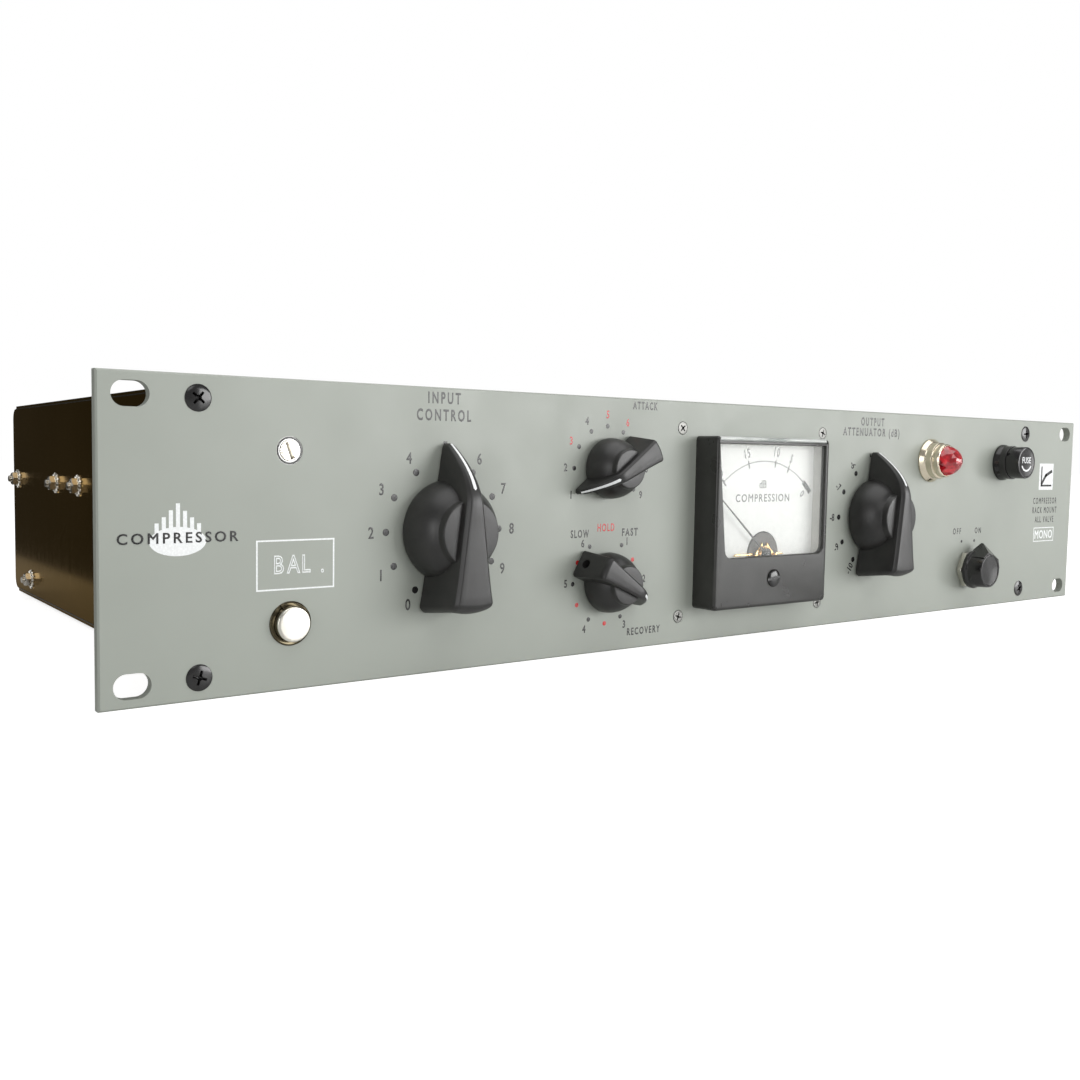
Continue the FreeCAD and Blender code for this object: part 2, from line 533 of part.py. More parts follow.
# ---- lamp and fuse ----
def make_lamp():
    x, z = LAMP
    bezel = lathe(x, z, [(5.2, front(8.2)), (7.1, front(8.2)), (7.3, front(7.8)), (7.3, front(6.4)),
                         (7.0, front(6.2)), (7.0, front(5.4)), (7.8, front(5.2)), (7.8, front(2.6)),
                         (8.6, front(2.0)), (9.5, front(1.4)), (9.5, front(0)), (6.4, front(0)),
                         (6.4, 24), (5.2, 24)])
    save("jewel_bezel", all_fused([bezel, ring(x, z, 8.8, 6.4, 0, 3)]))
    rings = [(6.7, front(8.2)), (6.2, front(10.4)), (4.6, front(12.7)), (2.3, front(14.0))]
    jewel = lathe(x, z, [(0, front(14.4))] + rings[::-1] + [(5.2, front(8.2)), (5.2, front(6.5)), (0, front(6.5))])
    save("jewel_lens", jewel)
    bulb = all_fused([cyl(x, z, 3.6, -2, 8), cyl(x, z, 4.5, 8, 24), cyl(x, z, 5.2, 24, 26),
                      box(x - 0.4, x + 0.4, 26, 32, z - 2, z + 2)])
    save("lamp_bulb", all_fused([bulb, Part.makeSphere(3.6, Vector(x, -2, z))]))


def make_fuse():
    x, z = FUSE
    holder = all_fused([cone(x, z, 8.0, 8.5, front(2.6), front(0)), cyl(x, z, 7.7, front(5.5), front(2.6)),
                        cyl(x, z, 6.3, front(1), 38), ring(x, z, 8.8, 6.0, 0, 3.5),
                        box(x - 1.6, x + 1.6, 38, 45, z - 0.4, z + 0.4)])
    save("fuse_holder", holder.cut(cyl(x, z, 4.2, front(6), 34)))
    cap = cyl(x, z, 7.25, front(12.0), front(5.6))
    cap = cap.makeFillet(0.8, [e for e in cap.Edges if abs(e.CenterOfMass.y - front(12)) < 0.01])
    cap = all_fused([cap, cyl(x, z, 4.0, front(5.6), -2)])
    save("fuse_cap", cap)
    save("fuse_cartridge", [cyl(x, z, 3.15, -2, 3.5), cyl(x, z, 3.0, 3.5, 24), cyl(x, z, 3.15, 24, 29.5)])


# ---- rear connectors ----
def socket_flange(x, z):
    plate = box(x - 13, x + 13, REAR_PLATE_Y + SHEET, REAR_PLATE_Y + SHEET + 2.2, z - 15.5, z + 15.5)
    plate = plate.makeFillet(2.5, [e for e in plate.Edges
                                   if abs(e.Vertexes[0].Y - e.Vertexes[1].Y) > 1])
    return plate


def make_sockets():
    outside = REAR_PLATE_Y + SHEET + 2.2
    x, z = SOCKET_IN
    body = all_fused([socket_flange(x, z), cyl(x, z, SOCKET_BORE_R, REAR_PLATE_Y - 22, REAR_PLATE_Y + SHEET)])
    tools = [ring(x, z, 9.5, 7.4, outside - 14, outside + 1)]
    for angle in (30, 150, 270):
        px = x + 3.9 * math.cos(math.radians(angle))
        pz = z + 3.9 * math.sin(math.radians(angle))
        tools.append(cyl(px, pz, 1.3, outside - 14, outside + 1))
    tools.append(box(x - 4.1, x + 4.1, outside - 8, outside + 1, z + 10.4, z + 14.1))
    for sx, sz in REAR_SCREWS:
        tools.append(cyl(sx, sz, 1.5, REAR_PLATE_Y - 1, REAR_Y + 5))
    save("input_socket", cut_all(body, tools))
    save("socket_latch", box(x - 4.0, x + 4.0, outside - 5.5, outside + 1.2, z + 10.5, z + 14.0))
    x, z = SOCKET_OUT
    body = all_fused([socket_flange(x, z), cyl(x, z, SOCKET_BORE_R, REAR_PLATE_Y - 22, REAR_PLATE_Y + SHEET)])
    tools = [cyl(x, z, 9.6, outside - 14, outside + 1)]
    for sx, sz in REAR_SCREWS:
        tools.append(cyl(sx, sz, 1.5, REAR_PLATE_Y - 1, REAR_Y + 5))
    pins = []
    for angle in (90, 210, 330):
        px = x + 3.9 * math.cos(math.radians(angle))
        pz = z + 3.9 * math.sin(math.radians(angle))
        pins.append(cyl(px, pz, 1.2, outside - 14, outside - 1.5))
    save("output_socket", [cut_all(body, tools)] + pins)


def make_power_inlet():
    x, z = INLET
    outside = REAR_PLATE_Y + SHEET + 2.0
    flange = box(x - 25, x + 25, REAR_PLATE_Y + SHEET, outside, z - 11.5, z + 11.5)
    flange = flange.makeFillet(4.0, [e for e in flange.Edges if abs(e.Vertexes[0].Y - e.Vertexes[1].Y) > 1])
    body = box(x - 13.7, x + 13.7, REAR_PLATE_Y - 22, outside, z - 10.2, z + 10.2)
    recess = box(x - 12.1, x + 12.1, outside - 17, outside + 1, z - 7.8, z + 7.8)
    shell = cut_all(flange.fuse(body), [recess] + [cyl(sx, sz, 1.5, REAR_PLATE_Y - 1, REAR_Y + 5)
                                                   for sx, sz in REAR_SCREWS[:2]])
    blades = [box(x + dx - 1.0, x + dx + 1.0, outside - 17, outside - 3, z + dz - 2.0, z + dz + 2.0)
              for dx, dz in ((-7, -1.5), (0, 2.5), (7, -1.5))]
    tags = [box(x + dx - 2.4, x + dx + 2.4, REAR_PLATE_Y - 30, REAR_PLATE_Y - 22, z + dz - 0.4, z + dz + 0.4)
            for dx, dz in ((-7, -1.5), (0, 2.5), (7, -1.5))]
    save("power_inlet", [shell] + blades + tags)


def make_rear_screws():
    solids = []
    for i, (x, z) in enumerate(REAR_SCREWS):
        y = REAR_PLATE_Y + SHEET + (2.0 if i < 2 else 2.2)
        body = lathe(x, z, [(0, y + 1.6), (1.6, y + 1.4), (2.7, y + 0.5), (2.7, y), (1.45, y), (1.45, y - 8), (0, y - 8)])
        body = body.cut(cross(x, z, y + 0.7, y + 2, 1.6, 0.35))
        solids.append(body)
        solids.append(hexagon(x, z, 5.5, REAR_PLATE_Y - 2.4, REAR_PLATE_Y).cut(cyl(x, z, 1.45, 0, 300)))
    save("rear_screws", solids)


# ---- inside ----
def make_transformers():
    floor = DECK_Z + SHEET
    x0, x1, y0, y1 = 108.0, 174.0, 150.0, 184.0
    top = floor + 50
    core = box(x0, x1, y0, y1, floor, top)
    window = 12.0
    core = cut_all(core, [box(x0 + 11, x0 + 11 + window, y0 - 1, y1 + 1, floor + 10, top - 10),
                          box(x1 - 11 - window, x1 - 11, y0 - 1, y1 + 1, floor + 10, top - 10)])
    coil = box(x0 + 11.5, x1 - 11.5, y0 - 10, y1 + 10, floor + 10.5, top - 10.5)
    coil = coil.cut(box(x0 + 11 + window, x1 - 11 - window, y0, y1, floor, top))
    save("power_transformer", [core, coil])
    cans = []
    for x, y in ((-165.0, 200.0), (-120.0, 200.0)):
        can = upright(x, y, 17.5, floor, floor + 44)
        cans.append(can.makeFillet(2.5, [e for e in can.Edges if abs(e.CenterOfMass.z - floor - 44) < 0.01]))
    save("audio_transformers", cans)


def make_electronics():
    x0, x1, y0, y1 = BOARD
    floor = DECK_Z + SHEET
    solids = [box(x0, x1, y0, y1, BOARD_Z - 1.6, BOARD_Z)]
    for x in (x0 + 5, x1 - 5):
        for y in (y0 + 5, y1 - 5):
            solids.append(upright(x, y, 3.0, floor, BOARD_Z - 1.6))
    for x, y in TUBES:
        solids.append(upright(x, y, 11.0, BOARD_Z, BOARD_Z + 4.5))
    save("circuit_board", solids)
    tubes = []
    for x, y in TUBES:
        z = BOARD_Z + 4.5
        glass = upright(x, y, 10.5, z, z + 30)
        glass = glass.fuse(Part.makeCone(10.5, 3.0, 5.5, Vector(x, y, z + 30), Vector(0, 0, 1)))
        tubes.append(glass.fuse(Part.makeSphere(2.0, Vector(x, y, z + 36))))
    save("vacuum_tubes", tubes)
    cans = []
    for x, y, r, tall in ((-70.0, 145.0, 12.5, 38), (-40.0, 145.0, 12.5, 38), (-12.0, 145.0, 9.0, 32),
                          (12.0, 145.0, 9.0, 32), (40.0, 145.0, 11.0, 30)):
        cans.append(upright(x, y, r, BOARD_Z, BOARD_Z + tall))
    save("filter_capacitors", cans)


make_front_panel()
make_panel_screws()
make_side_plates()
make_covers()
make_rear_plate()
make_inner_deck()
make_side_fasteners()
make_pointer_control("input", "input_attenuator", INPUT, BIG_KNOB, 19.0, 38.0)
make_pointer_control("output", "output_attenuator", OUTPUT, BIG_KNOB, 19.0, 38.0)
make_pointer_control("attack", "attack_switch", ATTACK, SMALL_KNOB, 16.5, 28.0)
make_pointer_control("recovery", "recovery_switch", RECOVERY, SMALL_KNOB, 16.5, 28.0)
make_power_control()
make_control_nuts()
make_trimmer()
make_balance_button()
make_meter_case()
make_meter_works()
make_lamp()
make_fuse()
make_sockets()
make_power_inlet()
make_rear_screws()
make_transformers()
make_electronics()
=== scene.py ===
"""Looks of a two-unit rack compressor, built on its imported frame.

Lengths are millimetres until they reach a vertex. On the panel a place is (x, z) and a height h in front
of the panel's face; directions are degrees, 0 to the right and 90 up.
"""
import json
import math

import bmesh
import bpy
from mathutils import Matrix, Vector


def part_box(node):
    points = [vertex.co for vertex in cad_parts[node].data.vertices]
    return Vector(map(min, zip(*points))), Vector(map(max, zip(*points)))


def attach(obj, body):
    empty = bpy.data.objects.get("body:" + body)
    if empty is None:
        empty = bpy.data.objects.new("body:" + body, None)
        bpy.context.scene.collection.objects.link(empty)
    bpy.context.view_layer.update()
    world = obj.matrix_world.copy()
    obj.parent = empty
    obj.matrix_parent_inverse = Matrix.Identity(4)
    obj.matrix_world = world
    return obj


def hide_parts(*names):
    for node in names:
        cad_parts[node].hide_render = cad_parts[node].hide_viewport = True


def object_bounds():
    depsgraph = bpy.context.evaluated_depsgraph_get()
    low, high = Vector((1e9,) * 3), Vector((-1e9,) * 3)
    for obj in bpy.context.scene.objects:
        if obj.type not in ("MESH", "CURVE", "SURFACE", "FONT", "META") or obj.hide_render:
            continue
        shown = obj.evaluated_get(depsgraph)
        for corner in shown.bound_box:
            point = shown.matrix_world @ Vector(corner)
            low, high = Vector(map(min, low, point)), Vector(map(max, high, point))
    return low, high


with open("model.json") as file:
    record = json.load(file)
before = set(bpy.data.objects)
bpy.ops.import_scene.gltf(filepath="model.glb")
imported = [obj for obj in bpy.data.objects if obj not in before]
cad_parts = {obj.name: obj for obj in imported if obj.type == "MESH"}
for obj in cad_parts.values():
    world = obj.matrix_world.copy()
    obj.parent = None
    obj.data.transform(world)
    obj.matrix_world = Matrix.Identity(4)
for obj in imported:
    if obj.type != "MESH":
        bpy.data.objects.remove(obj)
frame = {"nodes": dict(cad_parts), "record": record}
cad_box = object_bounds()

MM = 0.001
PANEL_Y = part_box("front_panel")[0].y
BLACK_KNOB_SMOOTH = 32.0

PIVOT = (3.8, -12.5)                                  # of the meter needle
SCALE_R = 35.3
METER_H = 10.8                                        # height of the case in front of the panel
METER_LOW = (-28.0, -31.7)                            # corners of the case
METER_HIGH = (34.5, 31.7)
METER_WINDOW = ((-26.6, -22.4), 32.3, -12.7, 28.9)    # left edge at top and foot, right, low, high
DIAL_H = 5.0                                          # height of the dial card


# ---------------------------------------------------------------- places taken from the frame
def middle(node):
    """Centre of a node on the panel, as (x, z)."""
    low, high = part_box(node)
    return (low.x + high.x) / 2 / MM, (low.z + high.z) / 2 / MM


def lumps(node):
    """Boxes (low, high), in metres, of the separate solids in one node."""
    bm = bmesh.new()
    bm.from_mesh(frame["nodes"][node].data)
    bmesh.ops.remove_doubles(bm, verts=bm.verts, dist=1e-6)
    left = set(bm.verts)
    boxes = []
    while left:
        island = [left.pop()]
        queue = list(island)
        while queue:
            for edge in queue.pop().link_edges:
                for vert in edge.verts:
                    if vert in left:
                        left.remove(vert)
                        island.append(vert)
                        queue.append(vert)
        corner = [[pick(v.co[i] for v in island) for i in range(3)] for pick in (min, max)]
        boxes.append((Vector(corner[0]), Vector(corner[1])))
    bm.free()
    return sorted(boxes, key=lambda b: (round(b[0].x, 4), round(b[0].z, 4), round(b[0].y, 4)))


def on_panel(x, z, h):
    """Point in metres from millimetres on the panel and in front of it."""
    return Vector((x * MM, PANEL_Y - h * MM, z * MM))


def polar(x, z, r, degrees):
    a = math.radians(degrees)
    return x + r * math.cos(a), z + r * math.sin(a)


# ---------------------------------------------------------------- finishes
class Finish:
    """A node material on Object coordinates, with short names for the nodes it uses."""

    def __init__(self, name, **sockets):
        self.material = bpy.data.materials.new(name)
        self.material.use_nodes = True
        self.tree = self.material.node_tree
        self.shader = self.tree.nodes["Principled BSDF"]
        self.place = self.tree.nodes.new("ShaderNodeTexCoord").outputs["Object"]
        for socket, value in sockets.items():
            self.shader.inputs[socket.replace("_", " ")].default_value = value

    def node(self, kind, **values):
        made = self.tree.nodes.new(kind)
        for key, value in values.items():
            if key in made.inputs:
                made.inputs[key].default_value = value
            else:
                setattr(made, key, value)
        return made

    def link(self, source, target):
        self.tree.links.new(source, target)

    def stretched(self, scale):
        mapping = self.node("ShaderNodeMapping")
        mapping.inputs["Scale"].default_value = scale
        self.link(self.place, mapping.inputs["Vector"])
        return mapping.outputs["Vector"]

    def noise(self, scale, detail=3.0, rough=0.5, where=None):
        made = self.node("ShaderNodeTexNoise", Scale=scale, Detail=detail, Roughness=rough)
        self.link(where or self.place, made.inputs["Vector"])
        return made.outputs["Fac"]

    def ramp(self, value, stops):
        made = self.node("ShaderNodeValToRGB")
        ramp = made.color_ramp
        while len(ramp.elements) < len(stops):
            ramp.elements.new(0.5)
        for element, (position, colour) in zip(ramp.elements, stops):
            element.position = position
            element.color = (*colour, 1.0)
        self.link(value, made.inputs["Fac"])
        return made.outputs["Color"]

    def between(self, value, low, high, start=0.3, end=0.7):
        made = self.node("ShaderNodeMapRange")
        for key, number in (("From Min", start), ("From Max", end), ("To Min", low), ("To Max", high)):
            made.inputs[key].default_value = number
        self.link(value, made.inputs["Value"])
        return made.outputs["Result"]

    def colour(self, value, dark, light, start=0.35, end=0.65):
        self.link(self.ramp(value, [(start, dark), (end, light)]), self.shader.inputs["Base Color"])

    def roughness(self, value, low, high, start=0.3, end=0.7):
        self.link(self.between(value, low, high, start, end), self.shader.inputs["Roughness"])

    def coat(self, value, dark, light, smooth, rough):
        """Colour and roughness that follow one pattern."""
        self.colour(value, dark, light)
        self.roughness(value, smooth, rough)

    def bump(self, value, depth_mm, strength=1.0):
        made = self.node("ShaderNodeBump", Strength=strength, Distance=depth_mm * MM)
        self.link(value, made.inputs["Height"])
        self.link(made.outputs["Normal"], self.shader.inputs["Normal"])


def panel_paint():
    """Satin grey-green enamel with a faint orange peel."""
    f = Finish("panel_grey_enamel", Roughness=0.38, Specular_IOR_Level=0.45)
    f.colour(f.noise(14.0, 4.0, 0.55), (0.330, 0.352, 0.314), (0.352, 0.375, 0.335))
    f.roughness(f.noise(60.0, 3.0), 0.34, 0.46)
    f.bump(f.noise(1300.0, 2.0), 0.02, 0.35)
    return f.material


def bronze_sheet():
    """Bronze plated sheet, brushed upright and almost a mirror."""
    f = Finish("brushed_dark_bronze", Metallic=1.0, Anisotropic=0.5)
    f.shader.inputs["Specular Tint"].default_value = (0.72, 0.60, 0.43, 1.0)
    streaks = f.noise(1.0, 5.0, 0.62, f.stretched((900.0, 900.0, 9.0)))
    clouds = f.noise(11.0, 3.0)
    mix = f.node("ShaderNodeMath", operation="MULTIPLY_ADD")
    mix.inputs[1].default_value = 0.45
    f.link(streaks, mix.inputs[0])
    f.link(clouds, mix.inputs[2])
    f.colour(mix.outputs[0], (0.13, 0.092, 0.052), (0.24, 0.172, 0.098), 0.45, 0.95)
    f.roughness(streaks, 0.08, 0.17)
    f.bump(streaks, 0.01, 0.2)
    return f.material


def bright_nickel(name="bright_nickel", tone=(0.80, 0.77, 0.70), rough=0.10):
    f = Finish(name, Metallic=1.0)
    smudge = f.noise(90.0, 4.0, 0.6)
    f.coat(smudge, tuple(c * 0.90 for c in tone), tone, rough, rough + 0.12)
    f.bump(f.noise(2600.0, 2.0), 0.004, 0.25)
    return f.material


def brushed_aluminium():
    f = Finish("brushed_aluminium", Metallic=1.0)
    lines = f.noise(1.0, 4.0, 0.6, f.stretched((30.0, 700.0, 700.0)))
    f.coat(lines, (0.50, 0.50, 0.49), (0.68, 0.68, 0.66), 0.28, 0.42)
    f.bump(lines, 0.01, 0.3)
    return f.material


def black_oxide():
    """Blackened screw steel, worn brighter in places."""
    f = Finish("black_oxide_steel", Metallic=0.7, Roughness=0.3)
    wear = f.noise(420.0, 4.0, 0.6)
    f.coat(wear, (0.012, 0.012, 0.012), (0.050, 0.047, 0.044), 0.22, 0.42)
    f.bump(f.noise(2400.0, 2.0), 0.008, 0.3)
    return f.material


def knob_plastic():
    """Moulded phenolic: a satin sheen over a very fine grain."""
    f = Finish("satin_black_phenolic", Specular_IOR_Level=0.55)
    mottle = f.noise(140.0, 4.0, 0.55)
    f.coat(mottle, (0.012, 0.012, 0.0115), (0.021, 0.020, 0.019), 0.34, 0.44)
    f.bump(f.noise(3000.0, 2.0), 0.006, 0.35)
    return f.material


def meter_plastic():
    f = Finish("meter_case_black", Specular_IOR_Level=0.5)
    mottle = f.noise(90.0, 4.0, 0.5)
    f.coat(mottle, (0.020, 0.020, 0.018), (0.030, 0.030, 0.027), 0.26, 0.34)
    f.bump(f.noise(2100.0, 3.0), 0.008, 0.4)
    return f.material


def socket_plastic():
    f = Finish("socket_black", Specular_IOR_Level=0.5)
    mottle = f.noise(120.0, 3.0)
    f.coat(mottle, (0.014, 0.014, 0.015), (0.024, 0.024, 0.026), 0.40, 0.55)
    f.bump(f.noise(1600.0, 2.0), 0.01, 0.4)
    return f.material


def ink(name, tone, spread=0.25):
    """Glossy screen-printed ink, with the slightly uneven cover of the screen."""
    f = Finish(name)
    grain = f.noise(1700.0, 3.0, 0.6)
    f.coat(grain, tuple(c * (1 - spread) for c in tone), tone, 0.20, 0.32)
    f.bump(grain, 0.003, 0.3)
    return f.material


def gloss_black():
    """Polished black moulding and enamel."""
    f = Finish("polished_black", Specular_IOR_Level=0.6)
    mottle = f.noise(110.0, 3.0)
    f.coat(mottle, (0.008, 0.008, 0.008), (0.015, 0.014, 0.014), 0.12, 0.22)
    f.bump(f.noise(1500.0, 2.0), 0.004, 0.25)
    return f.material


def clear_acrylic():
    f = Finish("clear_acrylic", Alpha=0.10, IOR=1.49, Specular_IOR_Level=0.6)
    haze_and_reflection = f.noise(160.0, 3.0)
    f.coat(haze_and_reflection, (0.90, 0.94, 0.92), (0.99, 1.0, 0.99), 0.03, 0.08)
    return f.material


def acrylic_edge():
    """The clear strip along the meter's top, which gathers light at its rounded edge; its half-opaque streaks
    from grey to white are painted reflection of that light.
    """
    f = Finish("acrylic_edge", Alpha=0.55, IOR=1.49, Specular_IOR_Level=0.8)
    haze_and_reflection = f.noise(1.0, 3.0, 0.5, f.stretched((55.0, 400.0, 400.0)))
    # painted reflection: the streaks run from grey to white to stand for the light the strip gathers and
    # throws back
    f.colour(haze_and_reflection, (0.45, 0.49, 0.46), (0.95, 0.98, 0.95), 0.38, 0.60)
    f.roughness(haze_and_reflection, 0.04, 0.10)
    return f.material


def dial_card():
    f = Finish("dial_card_white", Roughness=0.55)
    fibre = f.noise(520.0, 4.0, 0.6)
    f.coat(fibre, (0.86, 0.87, 0.84), (0.93, 0.94, 0.91), 0.48, 0.62)
    f.bump(fibre, 0.006, 0.3)
    return f.material


def liner_grey():
    f = Finish("meter_liner_grey", Roughness=0.5)
    soft = f.noise(70.0, 3.0)
    f.coat(soft, (0.42, 0.42, 0.39), (0.52, 0.51, 0.47), 0.4, 0.55)
    f.bump(f.noise(900.0), 0.01, 0.3)
    return f.material


def turned_brass():
    f = Finish("turned_brass", Metallic=1.0)
    rings = f.noise(260.0, 4.0, 0.6)
    f.coat(rings, (0.50, 0.30, 0.10), (0.86, 0.62, 0.30), 0.18, 0.34)
    f.bump(rings, 0.02, 0.4)
    return f.material


def red_jewel():
    """Cut glass, deep red, lit from the bulb behind it so that its middle glows."""
    f = Finish("red_jewel_glass", Transmission_Weight=0.25, IOR=1.6, Specular_IOR_Level=1.0)
    depth = f.noise(240.0, 2.0)
    f.coat(depth, (0.16, 0.0006, 0.004), (0.55, 0.005, 0.018), 0.02, 0.07)
    glow = f.ramp(f.noise(420.0, 1.0), [(0.45, (0.12, 0.0, 0.003)), (0.70, (1.0, 0.04, 0.05))])
    f.link(glow, f.shader.inputs["Emission Color"])
    f.shader.inputs["Emission Strength"].default_value = 0.26
    return f.material


def blown_glass():
    f = Finish("blown_glass", Transmission_Weight=0.9, IOR=1.5, Alpha=0.5)
    cloud = f.noise(40.0, 2.0)
    f.coat(cloud, (0.82, 0.86, 0.87), (0.95, 0.97, 0.98), 0.03, 0.08)
    return f.material


def core_iron():
    """Varnished laminations, a stack of fine lines."""
    f = Finish("varnished_laminations", Metallic=0.6)
    layers = f.noise(1.0, 2.0, 0.5, f.stretched((12.0, 2000.0, 12.0)))
    f.coat(layers, (0.030, 0.026, 0.022), (0.095, 0.085, 0.075), 0.35, 0.55)
    f.bump(layers, 0.05, 0.6)
    return f.material


def board_laminate():
    f = Finish("glass_epoxy_board", Roughness=0.4)
    weave = f.noise(700.0, 3.0)
    f.coat(weave, (0.020, 0.110, 0.045), (0.045, 0.180, 0.080), 0.3, 0.5)
    f.bump(weave, 0.02, 0.3)
    return f.material


def floor_paint():
    """White studio floor, lifted a little for the camera, so that it stays white to the horizon."""
    f = Finish("studio_floor", Specular_IOR_Level=0.7)
    f.shader.inputs["Emission Color"].default_value = (1.0, 1.0, 1.0, 1.0)
    ray = f.node("ShaderNodeLightPath")
    lift = f.node("ShaderNodeMapRange")
    lift.inputs["To Max"].default_value = 0.80
    f.link(ray.outputs["Is Camera Ray"], lift.inputs["Value"])
    f.link(lift.outputs["Result"], f.shader.inputs["Emission Strength"])
    soft = f.noise(2.0, 3.0)
    f.coat(soft, (0.70, 0.70, 0.695), (0.74, 0.74, 0.735), 0.28, 0.36)
    return f.material


def flag_cloth():
    """Dark cloth with a faint glow, which sets how dark the bronze side beside it reads."""
    f = Finish("flag_cloth", Specular_IOR_Level=0.0, Roughness=0.9)
    f.shader.inputs["Emission Color"].default_value = (0.056, 0.054, 0.046, 1.0)
    f.shader.inputs["Emission Strength"].default_value = 1.0
    f.colour(f.noise(30.0), (0.003, 0.003, 0.003), (0.006, 0.006, 0.005))
    return f.material


PAINT = panel_paint()
BRONZE = bronze_sheet()
NICKEL = bright_nickel()
WARM_NICKEL = bright_nickel("warm_nickel", (0.78, 0.70, 0.55), 0.12)
STEEL = bright_nickel("dull_steel", (0.20, 0.20, 0.19), 0.34)
BUTTON_RING = bright_nickel("dark_bronze_ring", (0.10, 0.085, 0.055), 0.10)
ALUMINIUM = brushed_aluminium()
OXIDE = black_oxide()
PHENOLIC = knob_plastic()
GLOSS_BLACK = gloss_black()
METER_BLACK = meter_plastic()
SOCKET_BLACK = socket_plastic()
BLACK_INK = ink("black_ink", (0.020, 0.020, 0.020))
DOT_BLACK = ink("dot_black", (0.014, 0.014, 0.014), 0.2)
WHITE_INK = ink("white_ink", (0.88, 0.90, 0.90), 0.06)
RED_INK = ink("red_ink", (0.60, 0.030, 0.028))
DIAL_INK = ink("dial_ink", (0.11, 0.115, 0.11))
ACRYLIC = clear_acrylic()
ACRYLIC_EDGE = acrylic_edge()
CARD = dial_card()
LINER = liner_grey()
BRASS = turned_brass()
JEWEL = red_jewel()
GLASS = blown_glass()
IRON = core_iron()
BOARD = board_laminate()
FLOOR = floor_paint()

SLOT_FINISH = {
    "panel_paint": PAINT, "bronze_plate": BRONZE, "black_steel": OXIDE, "knob_plastic": PHENOLIC,
    "black_plastic": METER_BLACK, "socket_plastic": SOCKET_BLACK, "nickel": NICKEL,
    "switch_body": ALUMINIUM, "clear_acrylic": ACRYLIC, "dial_card": CARD, "needle_black": OXIDE,
    "movement_brass": BRASS, "red_jewel": JEWEL, "core_iron": IRON, "can_steel": ALUMINIUM,
    "board_laminate": BOARD, "clear_glass": GLASS,
}
BODY_OF = {node: body for body, nodes in frame["record"]["behaviour"]["bodies"].items() for node in nodes}
SLOT_OF = {part["node"]: part["material_slot"] for part in frame["record"]["subparts"]}
for node_name, node_object in frame["nodes"].items():
    node_object.data.materials.clear()
    node_object.data.materials.append(SLOT_FINISH[SLOT_OF[node_name]])


# ---------------------------------------------------------------- meshes
def add_piece(name, mesh, material, sharp=30.0):
    """Put a mesh in the scene with smooth faces and hard edges where it turns by more than sharp degrees."""
    piece = bpy.data.objects.new(name, mesh)
    bpy.context.scene.collection.objects.link(piece)
    mesh.materials.clear()
    mesh.materials.append(material)
    mesh.polygons.foreach_set("use_smooth", [sharp > 0] * len(mesh.polygons))
    if sharp > 0:
        mesh.set_sharp_from_angle(angle=math.radians(sharp))
    return piece


def mesh_of(name, points, faces):
    """Mesh from points in metres, merged and with its faces outwards."""
    mesh = bpy.data.meshes.new(name)
    mesh.from_pydata([tuple(p) for p in points], [], faces)
    return tidied(mesh)


def tidied(mesh, merge=1e-6):
    """The mesh with close points merged and its faces turned outwards."""
    bm = bmesh.new()
    bm.from_mesh(mesh)
    bmesh.ops.remove_doubles(bm, verts=bm.verts, dist=merge)
    bmesh.ops.recalc_face_normals(bm, faces=bm.faces)
    bm.to_mesh(mesh)
    bm.free()
    return mesh


def evaluated(piece):
    """Plain mesh of a piece after its modifiers."""
    bpy.context.view_layer.update()
    shown = piece.evaluated_get(bpy.context.evaluated_depsgraph_get())
    return bpy.data.meshes.new_from_object(shown)


def boolean(piece, other, operation, sharp=30.0):
    """Cut with or join to another piece, which is used up."""
    modifier = piece.modifiers.new("join", "BOOLEAN")
    modifier.operation = operation
    modifier.solver = "EXACT"
    modifier.object = other
    result = tidied(evaluated(piece), 2e-6)
    material = piece.data.materials[0]
    name = piece.name
    for used in (piece, other):
        bpy.data.objects.remove(used)
    return add_piece(name, result, material, sharp)


def joined(name, pieces):
    """One piece from several, each keeping its own finish."""
    bm = bmesh.new()
    finishes = []
    for piece in pieces:
        start = len(bm.faces)
        bm.from_mesh(piece.data)
        own = piece.data.materials[0]
        if own not in finishes:
            finishes.append(own)
        bm.faces.ensure_lookup_table()
        for face in bm.faces[start:]:
            face.material_index = finishes.index(own)
    mesh = bpy.data.meshes.new(name)
    bm.to_mesh(mesh)
    bm.free()
    for piece in pieces:
        bpy.data.objects.remove(piece)
    made = add_piece(name, mesh, finishes[0])
    for finish in finishes[1:]:
        mesh.materials.append(finish)
    return made


def rounded(points, steps=4):
    """Profile of (a, b) or (a, b, radius) points; a point with a radius becomes an arc."""
    out = []
    for i, point in enumerate(points):
        if len(point) == 2:
            out.append(tuple(point))
            continue
        here = Vector(point[:2])
        before = Vector(points[i - 1][:2]) - here
        after = Vector(points[(i + 1) % len(points)][:2]) - here
        half = before.angle(after) / 2
        reach = min(point[2] / math.tan(half), before.length * 0.499, after.length * 0.499)
        radius = reach * math.tan(half)
        centre = here + (before.normalized() + after.normalized()).normalized() * radius / math.sin(half)
        first = here + before.normalized() * reach - centre
        last = here + after.normalized() * reach - centre
        sweep = first.angle_signed(last)
        for k in range(steps + 1):
            turned = first.copy()
            turned.rotate(Matrix.Rotation(-sweep * k / steps, 2))
            out.append(tuple(centre + turned))
    return out


def lathe(name, x, z, profile, material, steps=64, sharp=30.0):
    """Closed solid turned about the line through (x, z); profile points are (radius, h[, rounding]).

    A profile that starts and ends on the axis makes a solid, and any other makes a ring.
    """
    line = rounded(profile)
    points, faces = [], []
    for r, h in line:
        for k in range(steps):
            px, pz = polar(x, z, r, 360.0 * k / steps)
            points.append(on_panel(px, pz, h))
    rings = len(line) if line[0][0] > 0 else len(line) - 1
    for i in range(rings):
        for k in range(steps):
            a, b = i * steps + k, i * steps + (k + 1) % steps
            c, d = [(p + steps) % len(points) for p in (a, b)]
            faces.append((a, b, d, c))
    mesh = mesh_of(name, points, faces)
    return add_piece(name, mesh, material, sharp)


